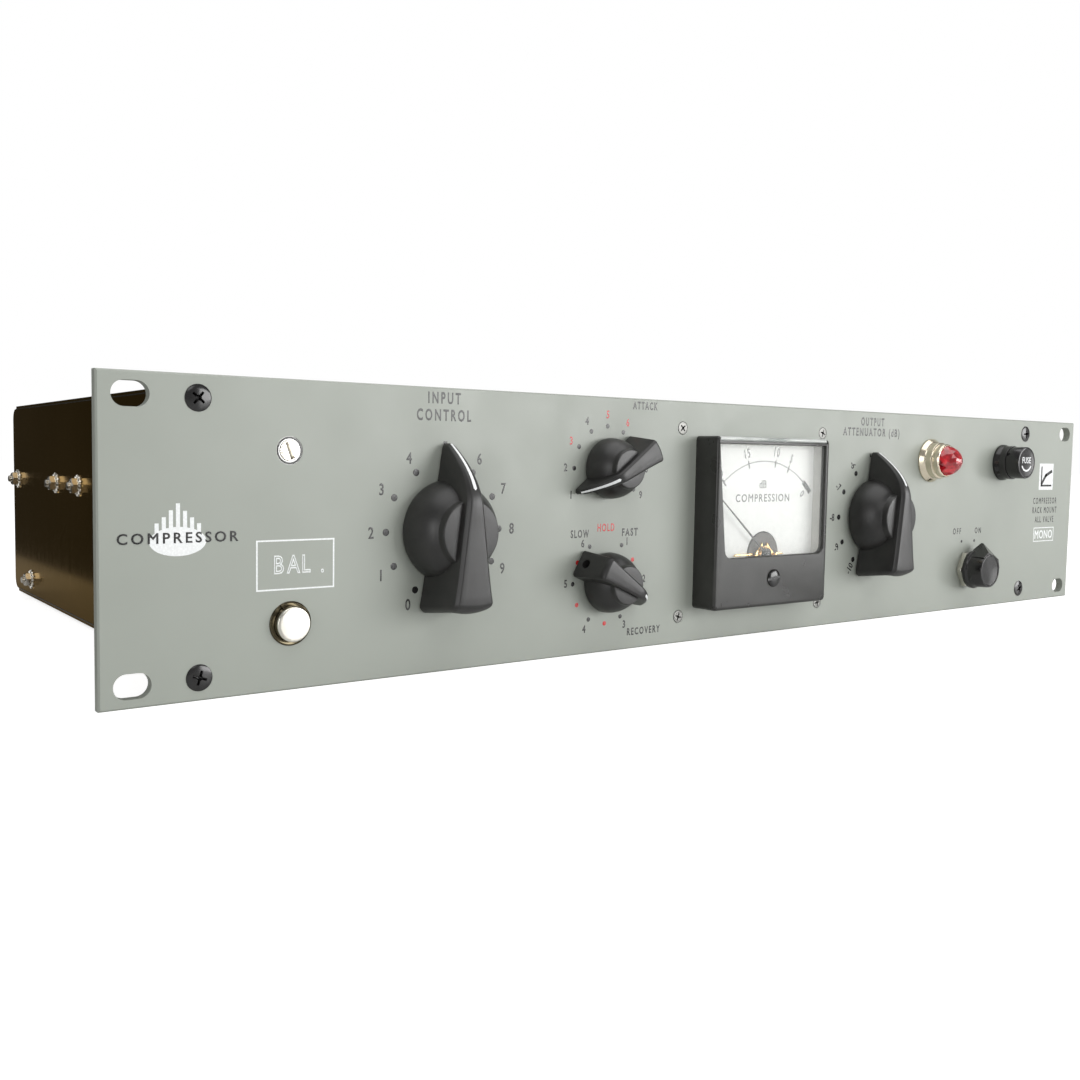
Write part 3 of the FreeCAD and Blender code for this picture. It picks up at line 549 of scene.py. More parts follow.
def bevelled(h0, h1, bevel):
    """Heights and insets of a straight side that rolls over at its front edge."""
    roll = [(h1 - bevel * (1 - math.sin(t)), bevel * (1 - math.cos(t)))
            for t in (math.pi / 6, math.pi / 3, math.pi / 2)]
    return [(h0, 0.0), (h1 - bevel, 0.0)] + roll


def prism(name, outline, rings, material, sharp=30.0):
    """Solid with an outline of (x, z[, rounding]) points that moves in by an inset at each height."""
    line = rounded(outline)
    count = len(line)
    points, faces = [], []
    for h, inset in rings:
        points += [on_panel(px, pz, h) for px, pz in shrunk(line, inset)]
    for i in range(len(rings) - 1):
        for k in range(count):
            a, b = i * count + k, i * count + (k + 1) % count
            faces.append((a, b, b + count, a + count))
    faces += [tuple(range(count)), tuple(range(len(points) - count, len(points)))]
    return add_piece(name, mesh_of(name, points, faces), material, sharp)


def shrunk(line, inset):
    """Closed outline moved inwards, keeping its number of points."""
    if inset == 0:
        return line
    area = sum(line[i - 1][0] * line[i][1] - line[i][0] * line[i - 1][1] for i in range(len(line)))
    side = 1 if area > 0 else -1
    out = []
    for i, (px, pz) in enumerate(line):
        ahead = Vector(line[(i + 1) % len(line)]) - Vector((px, pz))
        behind = Vector((px, pz)) - Vector(line[i - 1])
        normals = [Vector((-d.y, d.x)).normalized() * side for d in (ahead, behind) if d.length > 1e-9]
        move = sum(normals, Vector((0, 0)))
        if move.length > 1e-9:
            move = move.normalized() / max(0.5, math.cos(normals[0].angle(move)))
        out.append((px + move.x * inset, pz + move.y * inset))
    return out


def placed(piece, body, slot, *nodes):
    """Hand a finished piece to the frame: what it rides on, and the nodes it stands for, which are hidden;
    the slot argument is not used.
    """
    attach(piece, body)
    if nodes:
        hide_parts(*nodes)
    return piece


# ---------------------------------------------------------------- Geometry Nodes
def new_tree(name, inputs):
    """Empty geometry tree with named inputs; gives the tree, its input node and its output node."""
    tree = bpy.data.node_groups.new(name, "GeometryNodeTree")
    for label, kind in inputs:
        tree.interface.new_socket(name=label, in_out="INPUT", socket_type=kind)
    tree.interface.new_socket(name="Geometry", in_out="OUTPUT", socket_type="NodeSocketGeometry")
    return tree, tree.nodes.new("NodeGroupInput"), tree.nodes.new("NodeGroupOutput")


def add_node(tree, kind, links=(), **values):
    made = tree.nodes.new(kind)
    for key, value in values.items():
        if key in made.inputs:
            made.inputs[key].default_value = value
        else:
            setattr(made, key, value)
    for source, target in links:
        tree.links.new(source, made.inputs[target])
    return made


def close_tree(tree, geometry, inputs, output):
    """Realize, give the finish and end the tree."""
    real = add_node(tree, "GeometryNodeRealizeInstances", [(geometry, "Geometry")])
    finish = add_node(tree, "GeometryNodeSetMaterial", [(real.outputs["Geometry"], "Geometry"),
                                                        (inputs.outputs["Finish"], "Material")])
    tree.links.new(finish.outputs["Geometry"], output.inputs["Geometry"])


def ring_tree():
    """Copies of a shape set out on a circle round the Y axis, each turned to face outwards."""
    tree, given, output = new_tree("ring_of_copies", [
        ("Shape", "NodeSocketObject"), ("Count", "NodeSocketInt"), ("Radius", "NodeSocketFloat"),
        ("Start Angle", "NodeSocketFloat"), ("Step Angle", "NodeSocketFloat"), ("Centre", "NodeSocketVector"),
        ("Finish", "NodeSocketMaterial")])
    line = add_node(tree, "GeometryNodeMeshLine", [(given.outputs["Count"], "Count")])
    index = add_node(tree, "GeometryNodeInputIndex")
    angle = add_node(tree, "ShaderNodeMath", operation="MULTIPLY_ADD")
    for source, target in ((index.outputs[0], 0), (given.outputs["Step Angle"], 1),
                           (given.outputs["Start Angle"], 2)):
        tree.links.new(source, angle.inputs[target])
    flat = add_node(tree, "ShaderNodeCombineXYZ")
    for function, axis in (("COSINE", "X"), ("SINE", "Z")):
        turn = add_node(tree, "ShaderNodeMath", operation=function)
        tree.links.new(angle.outputs[0], turn.inputs[0])
        reach = add_node(tree, "ShaderNodeMath", operation="MULTIPLY")
        tree.links.new(turn.outputs[0], reach.inputs[0])
        tree.links.new(given.outputs["Radius"], reach.inputs[1])
        tree.links.new(reach.outputs[0], flat.inputs[axis])
    spot = add_node(tree, "ShaderNodeVectorMath", operation="ADD")
    tree.links.new(flat.outputs[0], spot.inputs[0])
    tree.links.new(given.outputs["Centre"], spot.inputs[1])
    set_place = add_node(tree, "GeometryNodeSetPosition", [(line.outputs["Mesh"], "Geometry"),
                                                           (spot.outputs[0], "Position")])
    back = add_node(tree, "ShaderNodeMath", operation="MULTIPLY")
    tree.links.new(angle.outputs[0], back.inputs[0])
    back.inputs[1].default_value = -1.0
    turned = add_node(tree, "ShaderNodeCombineXYZ")
    tree.links.new(back.outputs[0], turned.inputs["Y"])
    shape = add_node(tree, "GeometryNodeObjectInfo", [(given.outputs["Shape"], "Object")])
    copies = add_node(tree, "GeometryNodeInstanceOnPoints", [
        (set_place.outputs["Geometry"], "Points"), (shape.outputs["Geometry"], "Instance"),
        (turned.outputs[0], "Rotation")])
    close_tree(tree, copies.outputs["Instances"], given, output)
    return tree


def scatter_tree():
    """Copies of a shape on the points of a mesh, each turned by the points' own turn attribute."""
    tree, given, output = new_tree("copies_on_places", [
        ("Geometry", "NodeSocketGeometry"), ("Shape", "NodeSocketObject"), ("Finish", "NodeSocketMaterial")])
    turn = add_node(tree, "GeometryNodeInputNamedAttribute", data_type="FLOAT_VECTOR")
    turn.inputs["Name"].default_value = "turn"
    shape = add_node(tree, "GeometryNodeObjectInfo", [(given.outputs["Shape"], "Object")])
    copies = add_node(tree, "GeometryNodeInstanceOnPoints", [
        (given.outputs["Geometry"], "Points"), (shape.outputs["Geometry"], "Instance"),
        (turn.outputs["Attribute"], "Rotation")])
    close_tree(tree, copies.outputs["Instances"], given, output)
    return tree


RING = ring_tree()
SCATTER = scatter_tree()


def run_tree(name, base, tree, inputs):
    """Run a geometry tree on a base mesh and keep only the plain mesh it makes."""
    holder = bpy.data.objects.new(name, base)
    bpy.context.scene.collection.objects.link(holder)
    modifier = holder.modifiers.new("build", "NODES")
    modifier.node_group = tree
    for item in tree.interface.items_tree:
        if item.in_out == "INPUT" and item.name in inputs:
            modifier[item.identifier] = inputs[item.name]
    mesh = evaluated(holder)
    bpy.data.objects.remove(holder)
    return add_piece(name, mesh, inputs["Finish"])


def ring_of(name, shape, x, z, count, radius, start, step, material):
    """Ring of a shape modelled at (0, 0) with its outer side along +X; the shape is used up."""
    piece = run_tree(name, bpy.data.meshes.new(name), RING, {
        "Shape": shape, "Count": count, "Radius": radius * MM, "Start Angle": math.radians(start),
        "Step Angle": math.radians(step), "Centre": (x * MM, 0.0, z * MM), "Finish": material})
    bpy.data.objects.remove(shape)
    return piece


def copies_at(name, shape, places, material):
    """Copies of a shape at places [(point, turn)]; the shape is used up."""
    base = bpy.data.meshes.new(name)
    points, turns = zip(*places)
    base.from_pydata([tuple(point) for point in points], [], [])
    for value, turn in zip(base.attributes.new("turn", "FLOAT_VECTOR", "POINT").data, turns):
        value.vector = turn
    piece = run_tree(name, base, SCATTER, {"Shape": shape, "Finish": material})
    bpy.data.objects.remove(shape)
    return piece


# ---------------------------------------------------------------- printed marks
INK_H = 0.04                                          # half the thickness of the ink


def flat_text(name, text, size, spread=1.0, weight=0.0, hollow=0.0):
    """Text in the XY plane as a thin solid mesh, or as an outline of fine tubes if hollow is given."""
    curve = bpy.data.curves.new(name, "FONT")
    curve.body = text
    curve.size = size
    curve.space_character = spread
    curve.resolution_u = 3
    if hollow > 0:
        curve.fill_mode = "NONE"
        curve.bevel_depth = hollow * MM
        curve.bevel_resolution = 1
    else:
        curve.bevel_depth = weight * MM
        curve.bevel_resolution = 1
        curve.extrude = INK_H * MM
    holder = bpy.data.objects.new(name, curve)
    bpy.context.scene.collection.objects.link(holder)
    mesh = evaluated(holder)
    bpy.data.objects.remove(holder)
    if hollow == 0:
        mesh.transform(Matrix.Diagonal((1, 1, INK_H / (INK_H + weight), 1)))
    return tidied(mesh, 1e-7)


def extent(mesh, axis):
    values = [v.co[axis] for v in mesh.vertices]
    return min(values), max(values)


CAP_SHARE = extent(flat_text("capital", "H", 1.0), 1)[1]


def lettering(name, text, x, z, height, ink, squeeze=0.8, turn=0.0, spread=1.25, weight=0.0, h=0.0,
              hollow=0.0, lay=None):
    """Lettering centred on (x, z) of the panel, or placed by the matrix lay; height is that of a capital."""
    mesh = flat_text(name, text, height * MM / CAP_SHARE, spread, weight, hollow)
    centre = [sum(extent(mesh, axis)) / 2 for axis in (0, 1)]
    mesh.transform(Matrix.Diagonal((squeeze, 1, 1, 1)) @ Matrix.Translation((-centre[0], -centre[1], 0)))
    stand = Matrix.Rotation(math.radians(90), 4, "X")
    if lay is None:
        lay = Matrix.Translation(on_panel(x, z, h)) @ Matrix.Rotation(math.radians(-turn), 4, "Y")
    mesh.transform(lay @ stand)
    return add_piece(name, mesh, ink)


def stroke(name, ends, width, ink, h=0.0):
    """Straight printed line between two (x, z) ends."""
    (x0, z0), (x1, z1) = ends
    along = Vector((x1 - x0, z1 - z0)).normalized() * width / 2
    across = Vector((-along.y, along.x))
    first, last = Vector((x0, z0)) - along, Vector((x1, z1)) + along
    corners = [tuple(c) for c in (first + across, first - across, last - across, last + across)]
    return prism(name, corners, [(h - INK_H, 0.0), (h + INK_H, 0.0)], ink)


def box_outline(name, x0, x1, z0, z1, width, ink):
    """Printed rectangle with mitred corners."""
    outer = [(x0, z0), (x1, z0), (x1, z1), (x0, z1)]
    inner = shrunk(outer, width)
    sides = []
    for i in range(4):
        corners = [outer[i - 1], outer[i], inner[i], inner[i - 1]]
        sides.append(prism(name, corners, [(-INK_H, 0.0), (INK_H, 0.0)], ink))
    return joined(name, sides)


def arc_stroke(name, x, z, radius, start, end, width, ink, h=0.0):
    """Printed arc from start to end degrees."""
    steps = max(4, int(abs(end - start) / 3))
    angles = [start + (end - start) * k / steps for k in range(steps + 1)]
    outer = [polar(x, z, radius + width / 2, a) for a in angles]
    inner = [polar(x, z, radius - width / 2, a) for a in reversed(angles)]
    return prism(name, outer + inner, [(h - INK_H, 0.0), (h + INK_H, 0.0)], ink)


# ---------------------------------------------------------------- pointer knobs
KNOB_GAP = 0.8                                        # between the panel and the knob's foot
NOSE_H = 3.0
LARGE = dict(nose=26.9, tail=26.4, ridge=8.0, face_h=15.3, fin_h=18.0, dome_r=15.7, face_r=9.9,
             tail_half=9.4, top_tail=7.2, nose_half=1.35, top_nose=0.75, lean=2.8, bow=2.2, edge=1.35,
             recess=8.2, tail_round=3.6, corner=2.2)
SMALL = dict(nose=16.4, tail=15.3, ridge=4.2, face_h=12.4, fin_h=14.6, dome_r=10.4, face_r=6.5,
             tail_half=5.1, top_tail=4.1, nose_half=0.95, top_nose=0.6, lean=1.6, bow=0.8, edge=0.75,
             recess=7.8, tail_round=2.0, corner=1.2)
CHAMFER = ((0.05, 0.86), (0.14, 0.74), (0.66, 0.16), (0.78, 0.05), (0.95, 0.0))    # shares inwards and down


def ridge_height(k, u):
    """Height of the bar's top at u along it: level, then falling in a curve to the nose."""
    if u <= k["ridge"]:
        return k["fin_h"]
    share = (u - k["ridge"]) / (k["nose"] - k["ridge"])
    return k["fin_h"] - (k["fin_h"] - NOSE_H) * share ** 2.0


def fall_back(distance, radius):
    """How far a rounded end of the given radius draws in, at a distance from the end."""
    if distance >= radius:
        return 0.0
    return radius - math.sqrt(max(0.0, radius ** 2 - (radius - distance) ** 2))


def bar_section(k, u):
    """Half of a section through the bar: (half width, height) from the foot to the middle of the top."""
    along = (k["nose"] - u) / (k["nose"] + k["tail"])
    foot = k["nose_half"] + (k["tail_half"] - k["nose_half"]) * along
    crest = k["top_nose"] + (k["top_tail"] - k["top_nose"]) * along
    draw = fall_back(u + k["tail"], k["corner"]) + fall_back(k["nose"] - u, k["nose_half"])
    top = ridge_height(k, u) - fall_back(u + k["tail"], k["tail_round"])
    climb = k["fin_h"] - KNOB_GAP

    def half_at(h):
        return max(0.05, foot + (crest - foot) * (h - KNOB_GAP) / climb - draw)

    edge = min(k["edge"], 0.6 * half_at(top))
    rise = top - edge - KNOB_GAP
    section = [(half_at(KNOB_GAP + rise * s), KNOB_GAP + rise * s) for s in (0.0, 0.25, 0.5, 0.75, 1.0)]
    side = half_at(top - edge)
    section += [(side - edge * inward, top - edge * drop) for inward, drop in CHAMFER]
    flat = section[-1][0]
    section += [(flat * s, top + 0.12 * (1 - s)) for s in (0.66, 0.33, 0.0)]
    return section


def bar(name, k, material):
    """The finger bar of a pointer knob, nose along +X at (0, 0)."""
    nose = k["nose"]
    stations = [d * k["tail_round"] - k["tail"] for d in (0.0, 0.03, 0.09, 0.18, 0.3, 0.45, 0.62, 0.8, 1.0)]
    stations += [stations[-1] + (k["ridge"] - stations[-1]) * s / 9 for s in range(1, 10)]
    stations += [k["ridge"] + (nose - 1.2 - k["ridge"]) * s / 22 for s in range(1, 23)]
    stations += [nose - d for d in (0.8, 0.5, 0.25, 0.08, 0.0)]
    points, faces = [], []
    for u in stations:
        half = bar_section(k, u)
        whole = [(-w, h) for w, h in half] + [(w, h) for w, h in half[-2::-1]]
        for v, h in whole:
            back = max(0.0, min(1.0, (-u - 0.35 * k["tail"]) / (0.65 * k["tail"]))) ** 2
            shift = back * (k["lean"] * (h - KNOB_GAP) / (k["fin_h"] - KNOB_GAP)
                            + k["bow"] * (v / k["tail_half"]) ** 2)
            points.append(on_panel(u + shift, v, h))
    size = len(whole)
    for i in range(len(stations) - 1):
        for j in range(size):
            a, b = i * size + j, i * size + (j + 1) % size
            faces.append((a, b, b + size, a + size))
    for start in (0, (len(stations) - 1) * size):
        for j in range(size // 2 - 1):
            faces.append((start + j, start + j + 1, start + size - 2 - j, start + size - 1 - j))
        middle_row = size // 2 - 1
        faces.append((start + middle_row, start + middle_row + 1, start + middle_row + 2))
    return add_piece(name, mesh_of(name, points, faces), material)


def knob_dome(name, k, material):
    """Bowl-shaped skirt with a raised round face."""
    lip_r = k["face_r"] + 1.4 * k["dome_r"] / 15.7
    lip_h = k["face_h"] * 0.80
    spread = math.radians(51)
    a = (k["dome_r"] - lip_r) / (1 - math.cos(spread))
    b = (lip_h - 1.6) / math.sin(spread)
    bowl = [(k["dome_r"] - a + a * math.cos(spread * s / 14), 1.6 + b * math.sin(spread * s / 14))
            for s in range(15)]
    profile = [(0, KNOB_GAP), (k["dome_r"] - 0.3, KNOB_GAP, 0.3)] + bowl
    profile += [(k["face_r"] + 0.35, lip_h + 0.75, 0.5), (k["face_r"], k["face_h"], 0.45), (0, k["face_h"])]
    return lathe(name, 0, 0, profile, material, 96, 40)


def turned_to(piece, x, z, degrees):
    """Turn a piece modelled along +X at (0, 0) to a direction, and move it to (x, z)."""
    turn = Matrix.Rotation(math.radians(-degrees), 4, "Y")
    piece.data.transform(Matrix.Translation((x * MM, 0, z * MM)) @ turn)
    return piece


def pointer_line(name, k, start, half):
    """White inlay let into the ridge of the nose."""
    count = 26
    points, faces = [], []
    for i in range(count + 1):
        u = start + (k["nose"] - 0.25 - start) * i / count
        slope = (ridge_height(k, u + 0.01) - ridge_height(k, u - 0.01)) / 0.02
        normal = Vector((-slope, 1.0)).normalized()
        taper = 1.25 - 0.5 * i / count
        width = half * taper * math.sqrt(max(0.02, 1 - max(0.0, 1 - (u - start) / half) ** 2))
        for v, lift in ((-width, -0.25), (-width, 0.13), (-width * 0.6, 0.17), (width * 0.6, 0.17),
                        (width, 0.13), (width, -0.25)):
            points.append(on_panel(u + normal.x * lift, v, ridge_height(k, u) + normal.y * lift))
    for i in range(count):
        for j in range(6):
            a, b = 6 * i + j, 6 * i + (j + 1) % 6
            faces.append((a, b, b + 6, a + 6))
    faces += [tuple(range(6)), tuple(range(6 * count, 6 * count + 6))]
    return add_piece(name, mesh_of(name, points, faces), WHITE_INK)


def pointer_knob(which, k, direction, line_start, line_half):
    """Pointer knob with its bore for the set screw, and the white line on its nose."""
    body = BODY_OF[which + "_knob"]
    x, z = middle(which + "_shaft")
    knob = knob_dome(which + "_pointer_knob", k, PHENOLIC)
    knob = boolean(knob, bar(which + "_bar", k, PHENOLIC), "UNION", BLACK_KNOB_SMOOTH)
    low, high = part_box(which + "_set_screw")
    screw_h = (PANEL_Y - (low.y + high.y) / 2) / MM
    recess = lathe("recess", 0, 0, [(0, -1), (k["recess"], -1), (k["recess"], 3.0), (0, 3.0)], PHENOLIC, 48)
    knob = boolean(knob, recess, "DIFFERENCE", BLACK_KNOB_SMOOTH)
    start = 3.0 - PANEL_Y / MM
    hole = lathe("hole", 0, 0, [(0, start), (1.6, start), (1.6, 40), (0, 40)], PHENOLIC, 32)
    lay_down = Matrix.Rotation(math.radians(90), 4, "Z")
    hole.data.transform(Matrix.Translation((0, PANEL_Y - screw_h * MM, 0)) @ lay_down.inverted())
    knob = boolean(knob, hole, "DIFFERENCE", BLACK_KNOB_SMOOTH)
    placed(turned_to(knob, x, z, direction), body, "knob_plastic", which + "_knob")
    line = pointer_line(which + "_pointer_line", k, line_start, line_half)
    placed(turned_to(line, x, z, direction), body, "dial_card")


for knob_name, size, direction, line_start, line_half in (
        ("input", LARGE, 90.0, 13.0, 0.45), ("output", LARGE, 90.0, 13.0, 0.45),
        ("attack", SMALL, 210.0, 6.8, 0.40), ("recovery", SMALL, -30.0, 6.8, 0.40)):
    pointer_knob(knob_name, size, direction, line_start, line_half)


# ---------------------------------------------------------------- power switch knob
POWER_ON = 67.5                                   # where the power knob points


def power_knob():
    """Round knob with a wedge that slopes down to its point."""
    x, z = middle("power_shaft")
    profile = [(0, 2.9), (8.7, 2.9, 0.2), (8.7, 4.4, 0.3), (8.2, 4.9), (7.95, 5.2, 0.2), (7.6, 11.0),
               (7.35, 11.6, 0.35), (6.9, 11.6, 0.2), (6.6, 11.2, 0.2), (0, 11.2)]
    knob = lathe("power_selector_knob", 0, 0, profile, GLOSS_BLACK, 72)
    plan = [(13.2, 0, 0.35), (3.8, 7.2), (3.8, -7.2)]
    arrow = prism("arrow", plan, [(3.0, 0.0), (11.3, 0.0)], GLOSS_BLACK)
    slope = [(1.0, 3.1), (8.9, 3.1), (13.2, 3.9, 0.2), (13.1, 4.6, 0.2), (7.3, 11.25), (1.0, 11.25)]
    side = prism("side", slope, [(-9.0, 0.0), (9.0, 0.0)], GLOSS_BLACK)
    side.data.transform(Matrix.Translation((0, PANEL_Y, 0)) @ Matrix.Rotation(math.radians(90), 4, "X")
                        @ Matrix.Translation((0, -PANEL_Y, 0)))
    arrow = boolean(arrow, side, "INTERSECT")
    knob = boolean(knob, arrow, "UNION")
    placed(turned_to(knob, x, z, POWER_ON), "power_control", "knob_plastic", "power_knob")


# ---------------------------------------------------------------- nuts, washers and screws
def seat_at_zero(piece):
    """Bring a shape modelled on the panel face to the plane y = 0, for copying elsewhere."""
    piece.data.transform(Matrix.Translation((0, -PANEL_Y, 0)))
    return piece


def hex_nut(name, x, z, across, h0, h1, bore, material, turn=0.0):
    """Hexagon nut with chamfered corners and a bore."""
    corner = across / math.sqrt(3)
    outline = [(*polar(x, z, corner, turn + 60 * k), 0.3) for k in range(6)]
    nut = prism(name, outline, [(h0, 0.0), (h1, 0.0)], material)
    below, above = h0 - 1, h1 + 0.1
    cone = [(0, below), (corner + 1, below), (corner + 1, h1 - 1.35), (corner - 0.85, above), (0, above)]
    nut = boolean(nut, lathe("round", x, z, cone, material, 72), "INTERSECT")
    hole = [(0, below), (bore, below), (bore, h1 - 0.4), (bore + 0.5, above), (0, above)]
    return boolean(nut, lathe("hole", x, z, hole, material, 48), "DIFFERENCE")


def lock_nuts():
    """Washer and nut on each control's bushing."""
    bore = 4.8
    pieces = []
    for i, node in enumerate(("input_shaft", "output_shaft", "attack_shaft", "recovery_shaft")):
        x, z = middle(node)
        washer = [(bore, 0), (6.9, 0, 0.1), (6.9, 0.5, 0.2), (bore, 0.5)]
        pieces.append(lathe("washer", x, z, washer, NICKEL, 48))
        pieces.append(hex_nut("nut", x, z, 12.2, 0.5, 2.5, bore, NICKEL, 11.0 * i))
    x, z = middle("power_shaft")
    washer = [(bore, 0), (7.6, 0, 0.1), (7.6, 0.4, 0.15), (bore, 0.4)]
    pieces.append(lathe("washer", x, z, washer, NICKEL, 64))
    pieces.append(hex_nut("nut", x, z, 15.4, 0.4, 2.7, bore, NICKEL))
    placed(joined("control_lock_nuts", pieces), "chassis", "nickel", "control_nuts")


def plus_outline(half, reach):
    """Outline of a cross with arms of the given half width."""
    corner = [(half, half), (half, reach), (-half, reach), (-half, half)]
    points = []
    for quarter in range(4):
        a = math.radians(90 * quarter)
        for px, pz in corner:
            points.append((px * math.cos(a) - pz * math.sin(a), px * math.sin(a) + pz * math.cos(a)))
    return points


def cross_screw(head_r, rim, crown, shank_r, shank, recess, material):
    """Screw with a domed head and a crossed recess, its seat at y = 0 and its head towards -Y."""
    dome = [(head_r * math.cos(t), rim + (crown - rim) * math.sin(t))
            for t in (math.radians(d) for d in (0, 12, 25, 38, 52, 66, 79))]
    start = [(0, -shank), (shank_r, -shank), (shank_r, 0), (head_r - 0.15, 0)]
    screw = lathe("screw", 0, 0, start + dome + [(0, crown)], material, 36)
    depth = crown - recess * 0.75
    cross = prism("cross", plus_outline(recess * 0.20, recess),
                  [(depth, recess * 0.16), (crown + 0.3, 0.0)], material)
    screw = boolean(screw, cross, "DIFFERENCE")
    above = crown + 0.3
    socket = [(0, depth - 0.3), (recess * 0.25, depth), (recess * 0.42, above), (0, above)]
    return seat_at_zero(boolean(screw, lathe("middle", 0, 0, socket, material, 16), "DIFFERENCE"))


# turns that lay a shape made facing -Y on another face of the case
TO_LEFT = Vector((0, 0, math.radians(-90)))
TO_RIGHT = Vector((0, 0, math.radians(90)))
TO_TOP = Vector((math.radians(-90), 0, 0))
TO_FLOOR = Vector((math.radians(90), 0, 0))


def reaching(node, axis, side):
    """Centres of a node's solids that reach furthest to one side along an axis."""
    boxes = lumps(node)
    edge = (min(b[0][axis] for b in boxes) if side < 0 else max(b[1][axis] for b in boxes))
    found = [b for b in boxes if abs((b[0] if side < 0 else b[1])[axis] - edge) < 2e-4]
    return [(low + high) / 2 for low, high in found]


def panel_places(node, spin):
    """Places on the panel's face for the screws of a node, each spun a little more than the last."""
    places = []
    for i, centre in enumerate(reaching(node, 1, -1)):
        places.append((Vector((centre.x, PANEL_Y, centre.z)), Vector((0, math.radians(spin * i + 17), 0))))
    return places


def panel_hardware():
    screw = cross_screw(head_r=3.7, rim=0.08, crown=0.65, shank_r=2.4, shank=8.0, recess=2.1,
                        material=GLOSS_BLACK)
    screws = copies_at("panel_cross_screws", screw, panel_places("panel_screws", 23.0), GLOSS_BLACK)
    placed(screws, "chassis", "black_steel", "panel_screws")
    screw = cross_screw(head_r=2.2, rim=0.02, crown=0.10, shank_r=1.3, shank=8.0, recess=1.5, material=STEEL)
    screws = copies_at("meter_cross_screws", screw, panel_places("meter_screws", 31.0), STEEL)
    placed(screws, "chassis", "nickel", "meter_screws")


def case_hardware():
    """Screws of the rear connectors and of the covers."""
    crown = 1.3
    screw = cross_screw(head_r=2.7, rim=0.35, crown=crown, shank_r=1.3, shank=5.0, recess=1.5, material=OXIDE)
    places = []
    for i, (low, high) in enumerate(lumps("rear_screws")):
        seat = Vector(((low.x + high.x) / 2, high.y - crown * MM, (low.z + high.z) / 2))
        places.append((seat, Vector((0, math.radians(25 * i), math.pi))))
    screws = copies_at("rear_cross_screws", screw, places, OXIDE)
    placed(screws, "chassis", "black_steel", "rear_screws")
    screw = cross_screw(head_r=2.8, rim=0.3, crown=1.0, shank_r=1.25, shank=6.0, recess=1.5, material=OXIDE)
    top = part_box("top_cover")[1].z
    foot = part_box("bottom_cover")[0].z
    places = [(Vector((p.x, p.y, top)), TO_TOP) for p in reaching("cover_screws", 2, 1)]
    places += [(Vector((p.x, p.y, foot)), TO_FLOOR) for p in reaching("cover_screws", 2, -1)]
    screws = copies_at("cover_cross_screws", screw, places, OXIDE)
    placed(screws, "chassis", "black_steel", "cover_screws")


def side_stack():
    """Bolt end, nut and toothed washer as they stand on a side plate, facing -Y with the seat at y = 0."""
    pitch, root_r, bolt_r, turns = 0.25, 1.34, 1.5, 5
    profile = [(0, -3.0), (bolt_r, -3.0), (bolt_r, 3.0)]
    for k in range(turns):
        h = 3.0 + pitch * k
        profile += [(root_r, h), (bolt_r, h + pitch / 2)]
    bolt = lathe("bolt", 0, 0, profile + [(root_r, 4.25), (1.1, 4.45), (0, 4.45)], NICKEL, 24)
    nut = hex_nut("nut", 0, 0, 5.5, 0.8, 3.2, 1.4, NICKEL, 8.0)
    washer = lathe("washer", 0, 0, [(1.5, 0), (3.6, 0), (3.6, 0.45, 0.1), (1.5, 0.45)], NICKEL, 36)
    tooth = prism("tooth", [(-0.9, -0.42), (0.45, -0.32), (0.45, 0.32), (-0.9, 0.42)],
                  [(0.02, 0.0), (0.60, 0.06), (0.75, 0.14)], NICKEL)
    count = 14
    teeth = ring_of("teeth", tooth, 0, 0, count, 3.75, 0, 360 / count, NICKEL)
    return seat_at_zero(joined("side_stack", [bolt, nut, washer, teeth]))


def side_fasteners():
    low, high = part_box("top_cover")
    places = [(Vector((low.x, p.y, p.z)), TO_LEFT) for p in reaching("side_fasteners", 0, -1)]
    places += [(Vector((high.x, p.y, p.z)), TO_RIGHT) for p in reaching("side_fasteners", 0, 1)]
    stacks = copies_at("side_bolts_and_nuts", side_stack(), places, NICKEL)
    placed(stacks, "chassis", "nickel", "side_fasteners")


def cover_seams():
    """Dark seam along each long edge of the covers."""
    low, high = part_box("top_cover")
    half, let_in, proud = 0.2 * MM, 0.5 * MM, 0.12 * MM
    seams = []
    for x, out in ((low.x, -1), (high.x, 1)):
        for z in (low.z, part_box("bottom_cover")[1].z):
            across = sorted((x - out * let_in, x + out * proud))
            points = [(px, py, pz) for py in (low.y, high.y) for px in across for pz in (z - half, z + half)]
            faces = [(0, 1, 3, 2), (4, 5, 7, 6), (0, 1, 5, 4), (2, 3, 7, 6), (0, 2, 6, 4), (1, 3, 7, 5)]
            seams.append(add_piece("seam", mesh_of("seam", points, faces), GLOSS_BLACK))
    placed(joined("cover_seams", seams), "chassis", "black_plastic")


# ---------------------------------------------------------------- balance trimmer and button
def trimmer():
    """Slotted shaft with a ribbed edge, and the collar round it."""
    x, z = middle("trimmer_shaft")
    profile = [(0, -6), (2.65, -6), (2.65, 0.05), (2.4, 0.2, 0.1), (0, 0.2)]
    head = lathe("trimmer_head", 0, 0, profile, NICKEL, 60)
    slot = prism("slot", [(-4, -0.68), (4, -0.68), (4, 0.68), (-4, 0.68)], [(-1.9, 0.0), (1.0, 0.0)], NICKEL)
    head = boolean(head, slot, "DIFFERENCE")
    rib = prism("rib", [(-0.3, -0.16), (0.28, -0.10), (0.28, 0.10), (-0.3, 0.16)],
                [(-3.0, 0.0), (0.0, 0.0), (0.12, 0.06)], NICKEL)
    ribs = ring_of("ribs", rib, 0, 0, 40, 2.75, 4.5, 9, NICKEL)
    whole = joined("trimmer_screwdriver_shaft", [head, ribs])
    placed(turned_to(whole, x, z, 110.0), "balance_trimmer", "nickel", "trimmer_shaft")
    profile = [(3.2, -4.0), (3.95, -4.0), (3.95, -0.15, 0.2), (3.3, -0.15, 0.15), (3.2, -0.6)]
    placed(lathe("trimmer_collar", x, z, profile, GLOSS_BLACK, 60), "chassis", "switch_body")


